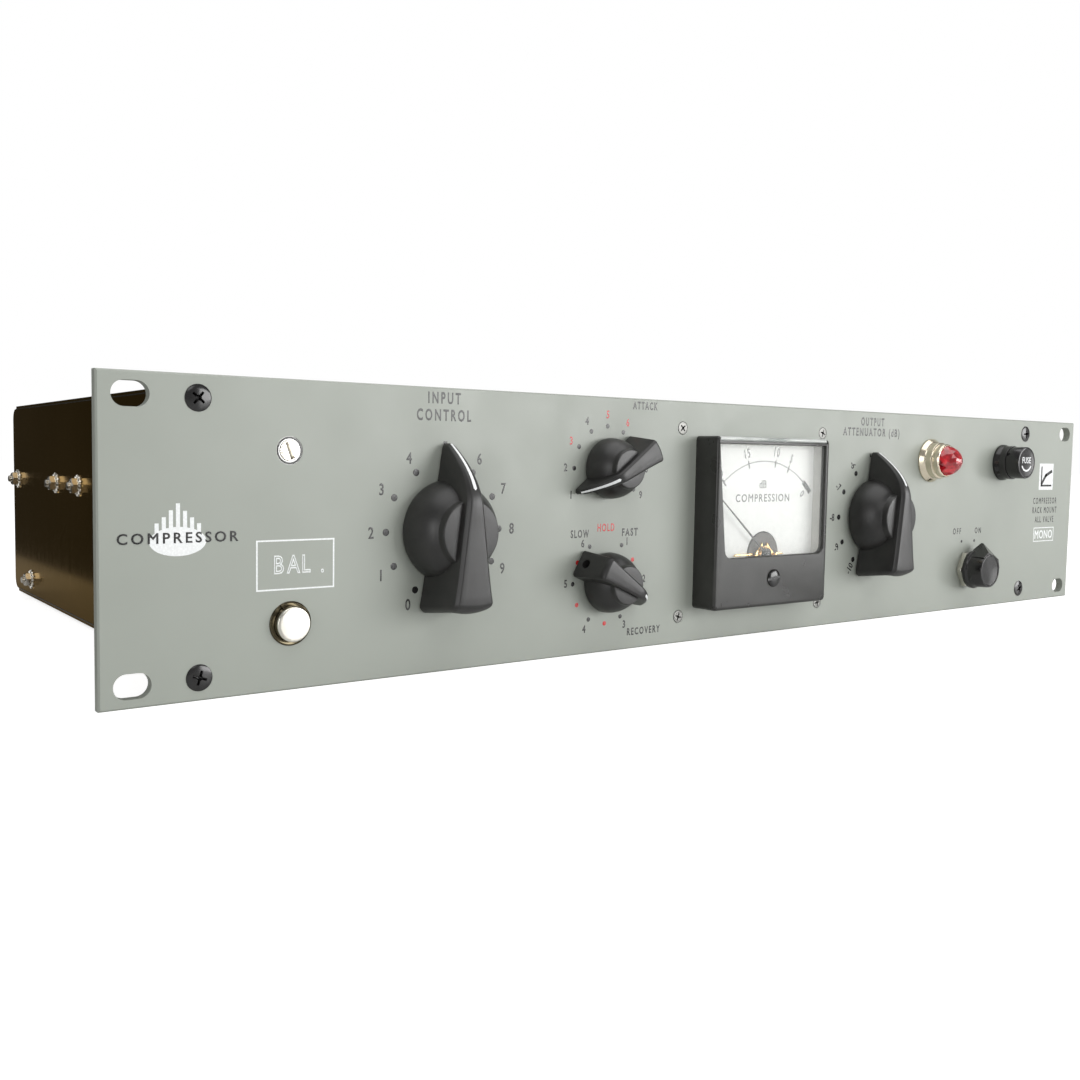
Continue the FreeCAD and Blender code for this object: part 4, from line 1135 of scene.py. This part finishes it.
def push_button():
    """Outside of the balance button, with only a stub behind its cap, and the slotted ring round it."""
    x, z = middle("button_cap")
    profile = [(0, -1.0), (2.5, -1.0), (2.5, 0.15), (5.0, 0.15), (5.0, 2.8, 0.4), (4.0, 2.84), (0, 2.86)]
    cap = lathe("balance_button_cap", x, z, profile, NICKEL, 72)
    placed(cap, "balance_button", "nickel", "button_cap")
    profile = [(5.15, -3.0), (6.35, -3.0), (6.35, 0.25, 0.25), (5.9, 0.45, 0.1), (5.15, 0.3)]
    ring = lathe("balance_button_ring", x, z, profile, BUTTON_RING, 72)
    across = [(-8, -0.65), (8, -0.65), (8, 0.65), (-8, 0.65)]
    slot = prism("slot", across, [(-0.4, 0.0), (2.0, 0.0)], BUTTON_RING)
    ring = boolean(ring, turned_to(slot, x, z, 125.0), "DIFFERENCE")
    placed(ring, "chassis", "switch_body", "button_bushing")


# ---------------------------------------------------------------- jewel lamp and fuse
def jewel_lamp():
    x, z = middle("jewel_lens")
    profile = [(5.25, -6.0), (6.3, -6.0), (6.3, 0), (9.5, 0, 0.1), (9.5, 0.6, 0.2), (8.3, 2.2, 0.2),
               (7.9, 2.5, 0.1), (7.9, 5.0, 0.3), (7.5, 5.35, 0.1), (7.15, 5.45, 0.15), (7.15, 5.9, 0.1),
               (7.25, 6.1, 0.1), (7.25, 7.6, 0.3), (6.95, 8.1, 0.25), (6.6, 8.25, 0.1), (6.3, 7.7),
               (5.25, 7.4)]
    bezel = lathe("jewel_lamp_bezel", x, z, profile, WARM_NICKEL, 96)
    placed(bezel, "chassis", "nickel", "jewel_bezel")
    facets = 12
    rows = [(6.1, 6.6, 0.0), (6.5, 8.2, 0.0), (6.5, 8.9, 0.5), (5.7, 10.8, 0.0), (4.3, 12.5, 0.5),
            (2.5, 13.8, 0.0), (0.9, 14.4, 0.5)]            # radius, height, shift in facets
    points, faces = [], []
    for r, h, shift in rows:
        for k in range(facets):
            points.append(on_panel(*polar(x, z, r, 360.0 * (k + shift) / facets), h))
    for i in range(len(rows) - 1):
        lag = rows[i][2] - rows[i + 1][2]
        for k in range(facets):
            a, b = i * facets + k, i * facets + (k + 1) % facets
            c, d = a + facets, b + facets
            if lag == 0:
                faces.append((a, b, d, c))
            elif lag < 0:
                faces += [(a, b, c), (b, d, c)]
            else:
                faces += [(a, d, c), (a, b, d)]
    faces += [tuple(range(facets)), tuple(range(len(points) - facets, len(points)))]
    jewel = add_piece("jewel_lamp_lens", mesh_of("jewel", points, faces), JEWEL, 0)
    placed(jewel, "chassis", "red_jewel", "jewel_lens")


def fuse_post():
    x, z = middle("fuse_cap")
    profile = [(4.3, -6), (6.2, -6), (6.2, 0), (8.5, 0, 0.2), (8.4, 1.0, 0.5), (7.9, 2.4, 0.3),
               (7.8, 2.8, 0.1), (7.8, 5.6, 0.2), (4.3, 5.6)]
    base = lathe("fuse_holder_body", x, z, profile, GLOSS_BLACK, 72)
    placed(base, "chassis", "black_plastic", "fuse_holder")
    face_h = 11.8
    profile = [(0, 5.65), (7.4, 5.65, 0.1), (7.4, 8.0), (7.3, 11.9, 0.45), (6.6, 12.0, 0.2),
               (6.3, face_h, 0.2), (0, face_h)]
    cap = lathe("fuse_cap_moulding", 0, 0, profile, GLOSS_BLACK, 72)
    edge = [(6.7, -0.8), (8.5, -0.8), (8.5, 0.8), (6.7, 0.8)]
    notch = prism("notch", edge, [(4.0, 0.0), (7.2, 0.0)], GLOSS_BLACK)
    cap = boolean(cap, ring_of("notches", notch, 0, 0, 3, 0.0, 30, 120, GLOSS_BLACK), "DIFFERENCE")
    placed(turned_to(cap, x, z, -120.0), "fuse_top", "black_plastic", "fuse_cap")
    legend = lettering("word", "FUSE", x, z + 1.2, 2.7, WHITE_INK, 0.82, spread=1.12, weight=0.07, h=face_h)
    smile = arc_stroke("arc", x, z + 0.6, 4.3, 208, 332, 0.75, WHITE_INK, face_h)
    placed(joined("fuse_cap_legend", [legend, smile]), "fuse_top", "dial_card")


# ---------------------------------------------------------------- meter
def meter_case():
    """Black moulded bezel with its sloping window edge, a grey liner inside it and a clear strip on top."""
    (x0, z0), (x1, z1) = METER_LOW, METER_HIGH
    outline = [(x0, z0, 1.6), (x1, z0, 1.6), (x1, z1, 2.2), (x0, z1, 1.6)]
    case = prism("meter_case_moulding", outline, bevelled(0.0, METER_H, 1.1), METER_BLACK, 40)
    left, right, low, high = METER_WINDOW
    window = [(left[0], high), (left[1], low, 3.2), (right, low, 3.2), (right, high)]
    opening = prism("opening", window, [(METER_H - 4.0, 0.0), (METER_H - 0.5, 0.0), (METER_H - 0.15, -0.15),
                                        (METER_H + 0.3, -0.6)], METER_BLACK)
    case = boolean(case, opening, "DIFFERENCE", 40)
    wall = 2.0
    room = [(x0 + wall, z0 + wall), (x1 - wall, z0 + wall), (x1 - wall, z1 - 2.6), (x0 + wall, z1 - 2.6)]
    room = prism("room", room, [(-1.0, 0.0), (METER_H - 2.2, 0.0)], METER_BLACK)
    case = boolean(case, room, "DIFFERENCE", 40)
    top_z = high + 1.0
    trough = [(x0 + 1.3, top_z), (x1 - 1.2, top_z), (x1 - 1.2, z1 + 1), (x0 + 1.3, z1 + 1)]
    trough = prism("trough", trough, [(0.6, 0.0), (METER_H + 1, 0.0)], METER_BLACK)
    case = boolean(case, trough, "DIFFERENCE", 40)
    placed(case, "chassis", "black_plastic", "meter_case")
    profile = [(0, -20.5), (18.9, -19.5), (18.9, -0.1), (20.5, -0.1), (20.5, -20.5, 1.0), (0, -21.5)]
    placed(lathe("meter_barrel", 3.3, -4.0, profile, METER_BLACK, 64), "chassis", "black_plastic")
    strip = [(x0 + 1.35, top_z + 0.05), (x1 - 1.25, top_z + 0.05), (x1 - 1.25, z1 - 0.1, 0.9),
             (x0 + 1.35, z1 - 0.1, 0.5)]
    strip = prism("meter_clear_top", strip, bevelled(0.65, METER_H - 0.15, 0.9), ACRYLIC_EDGE)
    placed(strip, "chassis", "clear_acrylic")
    pane = [(x0 + wall - 0.1, low - 1.5), (x1 - wall, low - 1.5), (x1 - wall, high + 0.3),
            (x0 + wall - 0.1, high + 0.3)]
    pane = prism("meter_pane", pane, [(METER_H - 2.2, 0.0), (METER_H - 1.2, 0.0)], ACRYLIC)
    placed(pane, "chassis", "clear_acrylic", "meter_window")
    inner_x0, inner_x1 = x0 + wall + 0.02, x1 - wall - 0.02
    inner_z0, inner_z1 = low - 1.6, z1 - 2.65
    outline = [(inner_x0, inner_z0), (inner_x1, inner_z0), (inner_x1, inner_z1), (inner_x0, inner_z1)]
    liner = prism("meter_liner", outline, [(DIAL_H, 0.0), (METER_H - 2.3, 0.0)], LINER)
    hollow = prism("hollow", shrunk(outline, 0.25), [(0.0, 0.0), (METER_H, 0.0)], LINER)
    placed(boolean(liner, hollow, "DIFFERENCE"), "chassis", "dial_card")


def meter_scale():
    """Printed scale: an arc with its marks and numbers, and two words."""
    px, pz = PIVOT
    top = DIAL_H
    marks = [arc_stroke("arc", px, pz, SCALE_R, 44.5, 130.0, 0.32, DIAL_INK, top),
             arc_stroke("end", px, pz, SCALE_R, 41.3, 50.7, 2.0, DIAL_INK, top + INK_H / 2)]
    for degrees, text in ((129.0, "20"), (104.7, "15"), (80.2, "10"), (67.5, "5")):
        inner = polar(px, pz, SCALE_R - 1.5, degrees)
        outer = polar(px, pz, SCALE_R + 0.8, degrees)
        marks.append(stroke("tick", (inner, outer), 0.7, DIAL_INK, top))
        tx, tz = polar(px, pz, SCALE_R + 4.0, degrees)
        marks.append(lettering("number", text, tx, tz, 3.2, DIAL_INK, 0.70, degrees - 90, 1.25,
                               weight=0.09, h=top))
    tx, tz = polar(px, pz, SCALE_R - 3.6, 46.0)
    marks.append(lettering("number", "0", tx, tz, 2.8, DIAL_INK, 0.75, -44, weight=0.08, h=top))
    marks.append(lettering("unit", "dB", 3.0, 14.1, 2.9, DIAL_INK, 0.9, spread=1.0, weight=0.06, h=top))
    marks.append(lettering("word", "COMPRESSION", 3.2, 8.9, 2.8, DIAL_INK, 0.95, spread=1.22,
                           weight=0.06, h=top))
    placed(joined("meter_scale", marks), "chassis", "needle_black")


def meter_works():
    """What shows round the needle's pivot: a half-round bridge in dark iron, which also paints the shade in
    the dial's opening there, brass arms and posts, a hair spring.
    """
    px, pz = PIVOT
    # painted shade: the dark half-round stands partly for the movement's bridge and partly for the shade in
    # the dial's opening round the pivot
    half_round = [(px + 8.6 * math.cos(t), pz - 0.9 + 9.2 * math.sin(t))
                  for t in (math.pi * k / 28 for k in range(29))]
    rings = [(DIAL_H - 0.6, 0.0), (DIAL_H + 0.25, 0.0), (DIAL_H + 0.4, 0.15)]
    bridge = prism("bridge", half_round, rings, IRON)
    placed(bridge, "chassis", "switch_body")
    pieces = []
    for side in (-1, 1):
        arm = [(px + side * 1.2, pz + 4.4), (px + side * 6.2, pz - 0.6), (px + side * 7.4, pz - 1.4),
               (px + side * 1.0, pz - 1.4)]
        pieces.append(prism("arm", arm, bevelled(DIAL_H + 0.2, DIAL_H + 1.2, 0.25), BRASS))
        profile = [(0, DIAL_H), (0.9, DIAL_H), (0.9, DIAL_H + 2.2, 0.2), (0, DIAL_H + 2.3)]
        pieces.append(lathe("post", px + side * 5.6, pz - 0.4, profile, BRASS, 24))
    turns = []
    for k in range(3):
        inner, outer = 1.6 + 0.7 * k, 1.85 + 0.7 * k
        low, high = DIAL_H + 1.5, DIAL_H + 1.9
        profile = [(inner, low), (outer, low), (outer, high), (inner, high)]
        turns.append(lathe("turn", px, pz, profile, BRASS, 32))
    rail = [(px - 16.5, -12.75), (px + 11.5, -12.75), (px + 9.5, -12.0), (px - 15.0, -12.0)]
    pieces.append(prism("rail", rail, bevelled(DIAL_H, DIAL_H + 0.8, 0.2), BRASS))
    placed(joined("meter_bridge_parts", pieces + turns), "chassis", "movement_brass", "meter_movement")


def meter_pointer():
    """Needle with its blade, tail and hub."""
    px, pz = PIVOT
    h = 7.2
    blade = prism("blade", [(0, -0.42), (34.0, -0.16), (34.4, 0), (34.0, 0.16), (0, 0.42)],
                  [(h - 0.15, 0.0), (h + 0.12, 0.0), (h + 0.2, 0.06)], OXIDE)
    outline = [(-6.0, -1.3, 0.4), (-2.0, -0.7), (0, -0.8), (0, 0.8), (-2.0, 0.7), (-6.0, 1.3, 0.4)]
    tail = prism("tail", outline, bevelled(h - 0.4, h + 0.4, 0.15), OXIDE)
    profile = [(0, 3.8), (0.45, 3.8), (0.45, h - 0.6), (2.4, h - 0.6, 0.2), (2.4, h + 0.3, 0.2),
               (1.0, h + 0.8, 0.2), (0, h + 0.9)]
    hub = lathe("hub", 0, 0, profile, OXIDE, 40)
    pointer = joined("meter_pointer_blade", [blade, tail, hub])
    placed(turned_to(pointer, px, pz, 140.0), "meter_pointer", "needle_black", "meter_needle")


def meter_zero():
    """Domed adjuster below the window."""
    x, z = middle("meter_zero_screw")
    crown = [(3.4, 0.05, 0.1), (3.35, 0.3), (2.9, 0.6), (2.0, 0.85), (1.0, 0.95), (0, 0.98)]
    profile = [(0, METER_H - 3.5), (1.5, METER_H - 3.5), (1.5, METER_H + 0.05)]
    profile += [(r, METER_H + h, *corner) for r, h, *corner in crown]
    screw = lathe("meter_zero_adjuster", 0, 0, profile, GLOSS_BLACK, 64)
    slot = prism("slot", [(-4, -0.48), (4, -0.48), (4, 0.48), (-4, 0.48)],
                 [(METER_H + 0.25, 0.0), (METER_H + 3, 0.0)], GLOSS_BLACK)
    screw = boolean(screw, slot, "DIFFERENCE")
    placed(turned_to(screw, x, z, 8.0), "zero_adjuster", "black_plastic", "meter_zero_screw")


# ---------------------------------------------------------------- panel marks
def dots(x, z, count, radius, start, step, size, ink):
    """Painted dots of a dial, on a circle."""
    profile = [(0, -0.05), (size / 2, -0.05), (size / 2, 0.03, 0.02), (size * 0.42, 0.04), (0, 0.04)]
    return ring_of("dots", lathe("dot", 0, 0, profile, ink, 20), x, z, count, radius, start, step, ink)


def word(text, x, z, height, squeeze, spread=1.35, weight=0.10, ink=BLACK_INK):
    """Upright lettering printed straight on the panel."""
    return lettering("word", text, x, z, height, ink, squeeze, spread=spread, weight=weight)


def numbers(labels, x, z, radius, height, ink, upright=True, squeeze=0.8):
    """Figures on a circle, upright or turned to run along its radius."""
    made = []
    for text, degrees in labels:
        tx, tz = polar(x, z, radius, degrees)
        turn = 0.0 if upright else degrees - 180 if degrees > 90 else degrees
        made.append(lettering("number", text, tx, tz, height, ink, squeeze, turn, 1.0, 0.09))
    return made


def beside_dots(labels, x, z, radius, height):
    """Upright figures set beside their dots, each with its own offset."""
    made = []
    for number, degrees, dx, dz in labels:
        tx, tz = polar(x, z, radius, degrees)
        made.append(word(str(number), tx + dx, tz + dz, height, 0.8, 1.0, 0.09))
    return made


def input_dial():
    x, z = middle("input_shaft")
    marks = [dots(x, z, 11, 20.66, 240, -30, 2.2, DOT_BLACK)]
    marks += numbers([(str(n), 240 - 30 * n) for n in range(11)], x, z, 25.7, 3.3, BLACK_INK)
    marks.append(word("INPUT", x - 0.4, 40.8, 3.3, 0.66, 1.45, 0.11))
    marks.append(word("CONTROL", x - 0.4, 35.6, 3.3, 0.66, 1.45, 0.11))
    return marks


def output_dial():
    x, z = middle("output_shaft")
    marks = [dots(x, z, 11, 20.7, 240, -30, 2.2, DOT_BLACK)]
    labels = [("-%d" % (10 - n) if n < 10 else "0", 240 - 30 * n) for n in range(11)]
    marks += numbers(labels, x, z, 24.9, 2.8, BLACK_INK, False, 0.85)
    marks.append(word("OUTPUT", x - 0.3, 39.8, 3.2, 0.64, 1.5, 0.11))
    marks.append(word("ATTENUATOR (dB)", x - 0.6, 35.0, 3.1, 0.74, 1.4, 0.11))
    return marks


def attack_dial():
    x, z = middle("attack_shaft")
    radius, label_r, height = 14.45, 18.4, 2.5
    beside = [(1, 210, -3.1, -1.7), (2, 180, -3.7, 0.3)]
    black = [(4, 120), (7, 30), (8, 0), (9, -30)]
    red = [(3, 150), (5, 90), (6, 60)]
    spots = [label[1] for label in beside + black + red]
    marks = [dots(x, z, 1, radius, degrees, 0, 1.6, DOT_BLACK) for degrees in spots]
    for labels, ink in ((black, BLACK_INK), (red, RED_INK)):
        marks += numbers([(str(n), degrees) for n, degrees in labels], x, z, label_r, height, ink)
    marks += beside_dots(beside, x, z, radius, height)
    marks.append(word("ATTACK", x + 17.3, 41.6, 2.5, 0.65))
    return marks


def recovery_dial():
    x, z = middle("recovery_shaft")
    radius = 14.45
    black = [(1, 60, 2.5, 1.3), (2, 0, 3.7, 0.3), (3, -60, 1.9, -2.9), (4, -120, -1.9, -3.2),
             (5, 180, -3.1, 0.3), (6, 120, -3.1, 1.2)]
    marks = [dots(x, z, 6, radius, 60, -60, 1.6, DOT_BLACK), dots(x, z, 5, radius, 30, -60, 1.6, RED_INK)]
    marks += beside_dots(black, x, z, radius, 2.5)
    marks.append(word("RECOVERY", x + 18.6, -37.9, 2.4, 0.73))
    marks.append(word("SLOW", x - 11.7, -2.6, 2.5, 0.65))
    marks.append(word("FAST", x + 11.0, -2.6, 2.5, 0.75))
    marks.append(word("HOLD", x - 0.1, -0.7, 2.5, 0.66, 1.3, ink=RED_INK))
    return marks


def power_marks():
    x, z = middle("power_shaft")
    marks = []
    for text, side in (("OFF", -1), ("ON", 1)):
        marks.append(word(text, x - 0.6 + side * 8.5, z + 17.6, 2.6, 0.75, 1.5, 0.08))
        marks.append(dots(x + side * 5.15, z + 12.9, 1, 0.0, 0, 0, 1.3, DOT_BLACK))
    return marks


def balance_plate():
    """Outlined label over the balance button, with hollow letters."""
    x, z = middle("button_cap")
    x0, x1, z0, z1 = x - 10.3, x + 13.7, z + 9.6, z + 23.9
    marks = [box_outline("edge", x0, x1, z0, z1, 0.45, WHITE_INK)]
    for text, place, drop in (("B", 6.8, 0.1), ("A", 11.2, 0.1), ("L", 15.2, 0.1), (".", 20.2, -2.2)):
        marks.append(lettering("letter", text, x0 + place, (z0 + z1) / 2 + drop, 4.9, WHITE_INK, hollow=0.2))
    return marks


def type_column():
    """Small square with a compression curve, three lines of type and an outlined word, at the right."""
    x, z, side = 216.7, 16.9, 6.5
    square = [(x - side, z - side), (x + side, z - side), (x + side, z + side), (x - side, z + side)]
    plate = prism("plate", square, [(-INK_H, 0.0), (INK_H, 0.0)], WHITE_INK)
    lift = 2 * INK_H
    knee = (x - 0.4, z + 0.6)
    curve = [stroke("axis", ((x - 4.4, z - 4.4), (x + 4.6, z - 4.4)), 0.9, BLACK_INK, lift),
             stroke("axis", ((x - 4.4, z - 4.4), (x - 4.4, z + 4.6)), 0.9, BLACK_INK, lift),
             stroke("rise", ((x - 4.0, z - 3.4), knee), 1.5, BLACK_INK, lift),
             stroke("level", (knee, (x + 4.6, z + 2.6)), 1.5, BLACK_INK, lift)]
    marks = [plate] + curve
    for text, tz in (("COMPRESSOR", 5.0), ("RACK MOUNT", 0.4), ("ALL VALVE", -4.2)):
        marks.append(word(text, x, tz, 2.9, 0.62, 1.45, 0.05))
    marks.append(box_outline("edge", x - 9.4, x + 9.4, -15.2, -8.2, 0.42, WHITE_INK))
    marks.append(word("MONO", x, -11.7, 3.9, 0.88, 1.08, 0.12, WHITE_INK))
    return marks


def maker_mark():
    """A plain word across a plain white roundel, with level bars rising from it."""
    x, z = -220.3, 0.5
    oval = [(x + 7.7 * math.cos(t), z - 1.0 + 3.9 * math.sin(t))
            for t in (math.tau * k / 48 for k in range(48))]
    marks = [prism("oval", oval, [(-INK_H, 0.0), (INK_H, 0.0)], WHITE_INK)]
    for k, tall in enumerate((3.4, 5.0, 6.8, 8.6, 6.6, 4.8, 3.2)):
        bx = x + 1.9 * (k - 3)
        marks.append(stroke("bar", ((bx, z + 1.0), (bx, z + tall)), 1.1, WHITE_INK, INK_H / 2))
    marks.append(lettering("word", "COMPRESSOR", x + 0.4, z, 2.7, BLACK_INK, 1.05, spread=1.36, weight=0.07,
                           h=2 * INK_H))
    return marks


def rear_marks():
    """Plain words by the rear connectors."""
    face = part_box("rear_plate")[1].y
    marks = []
    for node, text in (("input_socket", "INPUT"), ("output_socket", "OUTPUT"), ("power_inlet", "MAINS")):
        low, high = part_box(node)
        spot = Vector(((low.x + high.x) / 2, face, high.z + 0.0065))
        lay = Matrix.Translation(spot) @ Matrix.Rotation(math.pi, 4, "Z")
        marks.append(lettering("word", text, 0, 0, 4.0, WHITE_INK, 0.85, lay=lay))
    return placed(joined("rear_legends", marks), "chassis", "dial_card")


def panel_marks():
    """All printed marks of the panel, joined into one piece for each ink."""
    marks = (input_dial() + output_dial() + attack_dial() + recovery_dial() + power_marks()
             + balance_plate() + type_column() + maker_mark())
    inks = {BLACK_INK: ("panel_legends_black", "needle_black"),
            DOT_BLACK: ("panel_dial_dots", "needle_black"),
            RED_INK: ("panel_legends_red", "red_jewel"),
            WHITE_INK: ("panel_legends_white", "dial_card")}
    groups = [(name, slot, [mark for mark in marks if mark.data.materials[0] == ink])
              for ink, (name, slot) in inks.items()]
    for name, slot, same in groups:
        placed(joined(name, same), "chassis", slot)


power_knob()
lock_nuts()
panel_hardware()
case_hardware()
side_fasteners()
cover_seams()
trimmer()
push_button()
jewel_lamp()
fuse_post()
meter_case()
meter_scale()
meter_works()
meter_pointer()
meter_zero()
panel_marks()
rear_marks()


# ---------------------------------------------------------------- camera, light and floor
ROOM_LIGHT = 0.30


def make_camera():
    """Stands left of the unit, a little above its middle, looking across the panel."""
    data = bpy.data.cameras.new("camera")
    data.sensor_width = 36.0
    data.lens = 36.0
    data.shift_x = 0.0437
    data.shift_y = -0.0107
    data.clip_start = 0.01
    data.clip_end = 50.0
    camera = bpy.data.objects.new("camera", data)
    bpy.context.scene.collection.objects.link(camera)
    heading = Matrix.Rotation(math.radians(-35.094), 4, "Z")
    tilt = Matrix.Rotation(math.radians(90 - 3.862), 4, "X")
    roll = Matrix.Rotation(math.radians(0.824), 4, "Z")
    spot = Vector((-316.15, -284.67, 23.45)) * MM
    camera.matrix_world = Matrix.Translation(spot) @ heading @ tilt @ roll
    bpy.context.scene.camera = camera


def softbox(name, spot, target, size, power):
    """Rectangular light at a spot, turned to a target; metres and watts."""
    data = bpy.data.lights.new(name, "AREA")
    data.shape = "RECTANGLE"
    data.size = size[0]
    data.size_y = size[1]
    data.energy = power
    light = bpy.data.objects.new(name, data)
    bpy.context.scene.collection.objects.link(light)
    light.location = spot
    light.rotation_euler = (Vector(target) - Vector(spot)).to_track_quat("-Z", "Y").to_euler()


def light_room():
    """White room: full white to the camera, dimmer where it lights the unit."""
    world = bpy.data.worlds.new("studio")
    bpy.context.scene.world = world
    world.use_nodes = True
    nodes = world.node_tree.nodes
    links = world.node_tree.links
    nodes["Background"].inputs["Color"].default_value = (1.0, 1.0, 1.0, 1.0)
    ray = nodes.new("ShaderNodeLightPath")
    strength = nodes.new("ShaderNodeMapRange")
    strength.inputs["To Min"].default_value = ROOM_LIGHT
    strength.inputs["To Max"].default_value = 1.0
    links.new(ray.outputs["Is Camera Ray"], strength.inputs["Value"])
    links.new(strength.outputs["Result"], nodes["Background"].inputs["Strength"])


def lay_floor(z):
    half = 6.0
    corners = [(-half, -half, z), (half, -half, z), (half, half, z), (-half, half, z)]
    add_piece("floor", mesh_of("floor", corners, [(0, 1, 2, 3)]), FLOOR, 0)


def stand_flag(foot):
    """Dark cloth beyond the left side, upright and along the floor; it shows only in reflections."""
    left, right, front, back, top = -2.4, -0.23, 0.0, 1.3, 0.7
    corners = [(left, back, foot), (right, back, foot), (right, back, top), (left, back, top),
               (left, front, foot), (right - 0.02, front, foot)]
    flag = add_piece("flag", mesh_of("flag", corners, [(0, 1, 2, 3), (4, 5, 1, 0)]), flag_cloth(), 0)
    flag.visible_camera = False
    flag.visible_diffuse = False
    flag.visible_shadow = False


def make_studio():
    light_room()
    softbox("front", (1.25, -1.5, 0.25), (0.5, 0, 0.1), (1.6, 0.9), 31.0)
    softbox("left", (-1.4, -0.9, 0.25), (0, 0, 0), (0.7, 0.7), 4.5)
    softbox("fill", (-0.35, -1.4, 0.9), (0, 0, 0), (0.7, 0.5), 2.0)
    softbox("top", (0.1, -0.2, 1.7), (0, 0, 0), (2.2, 1.6), 18.0)
    ground = cad_box[0][2]
    lay_floor(ground)
    stand_flag(ground + 1.0 * MM)
    bpy.context.scene.view_settings.view_transform = "Standard"


make_camera()
make_studio()
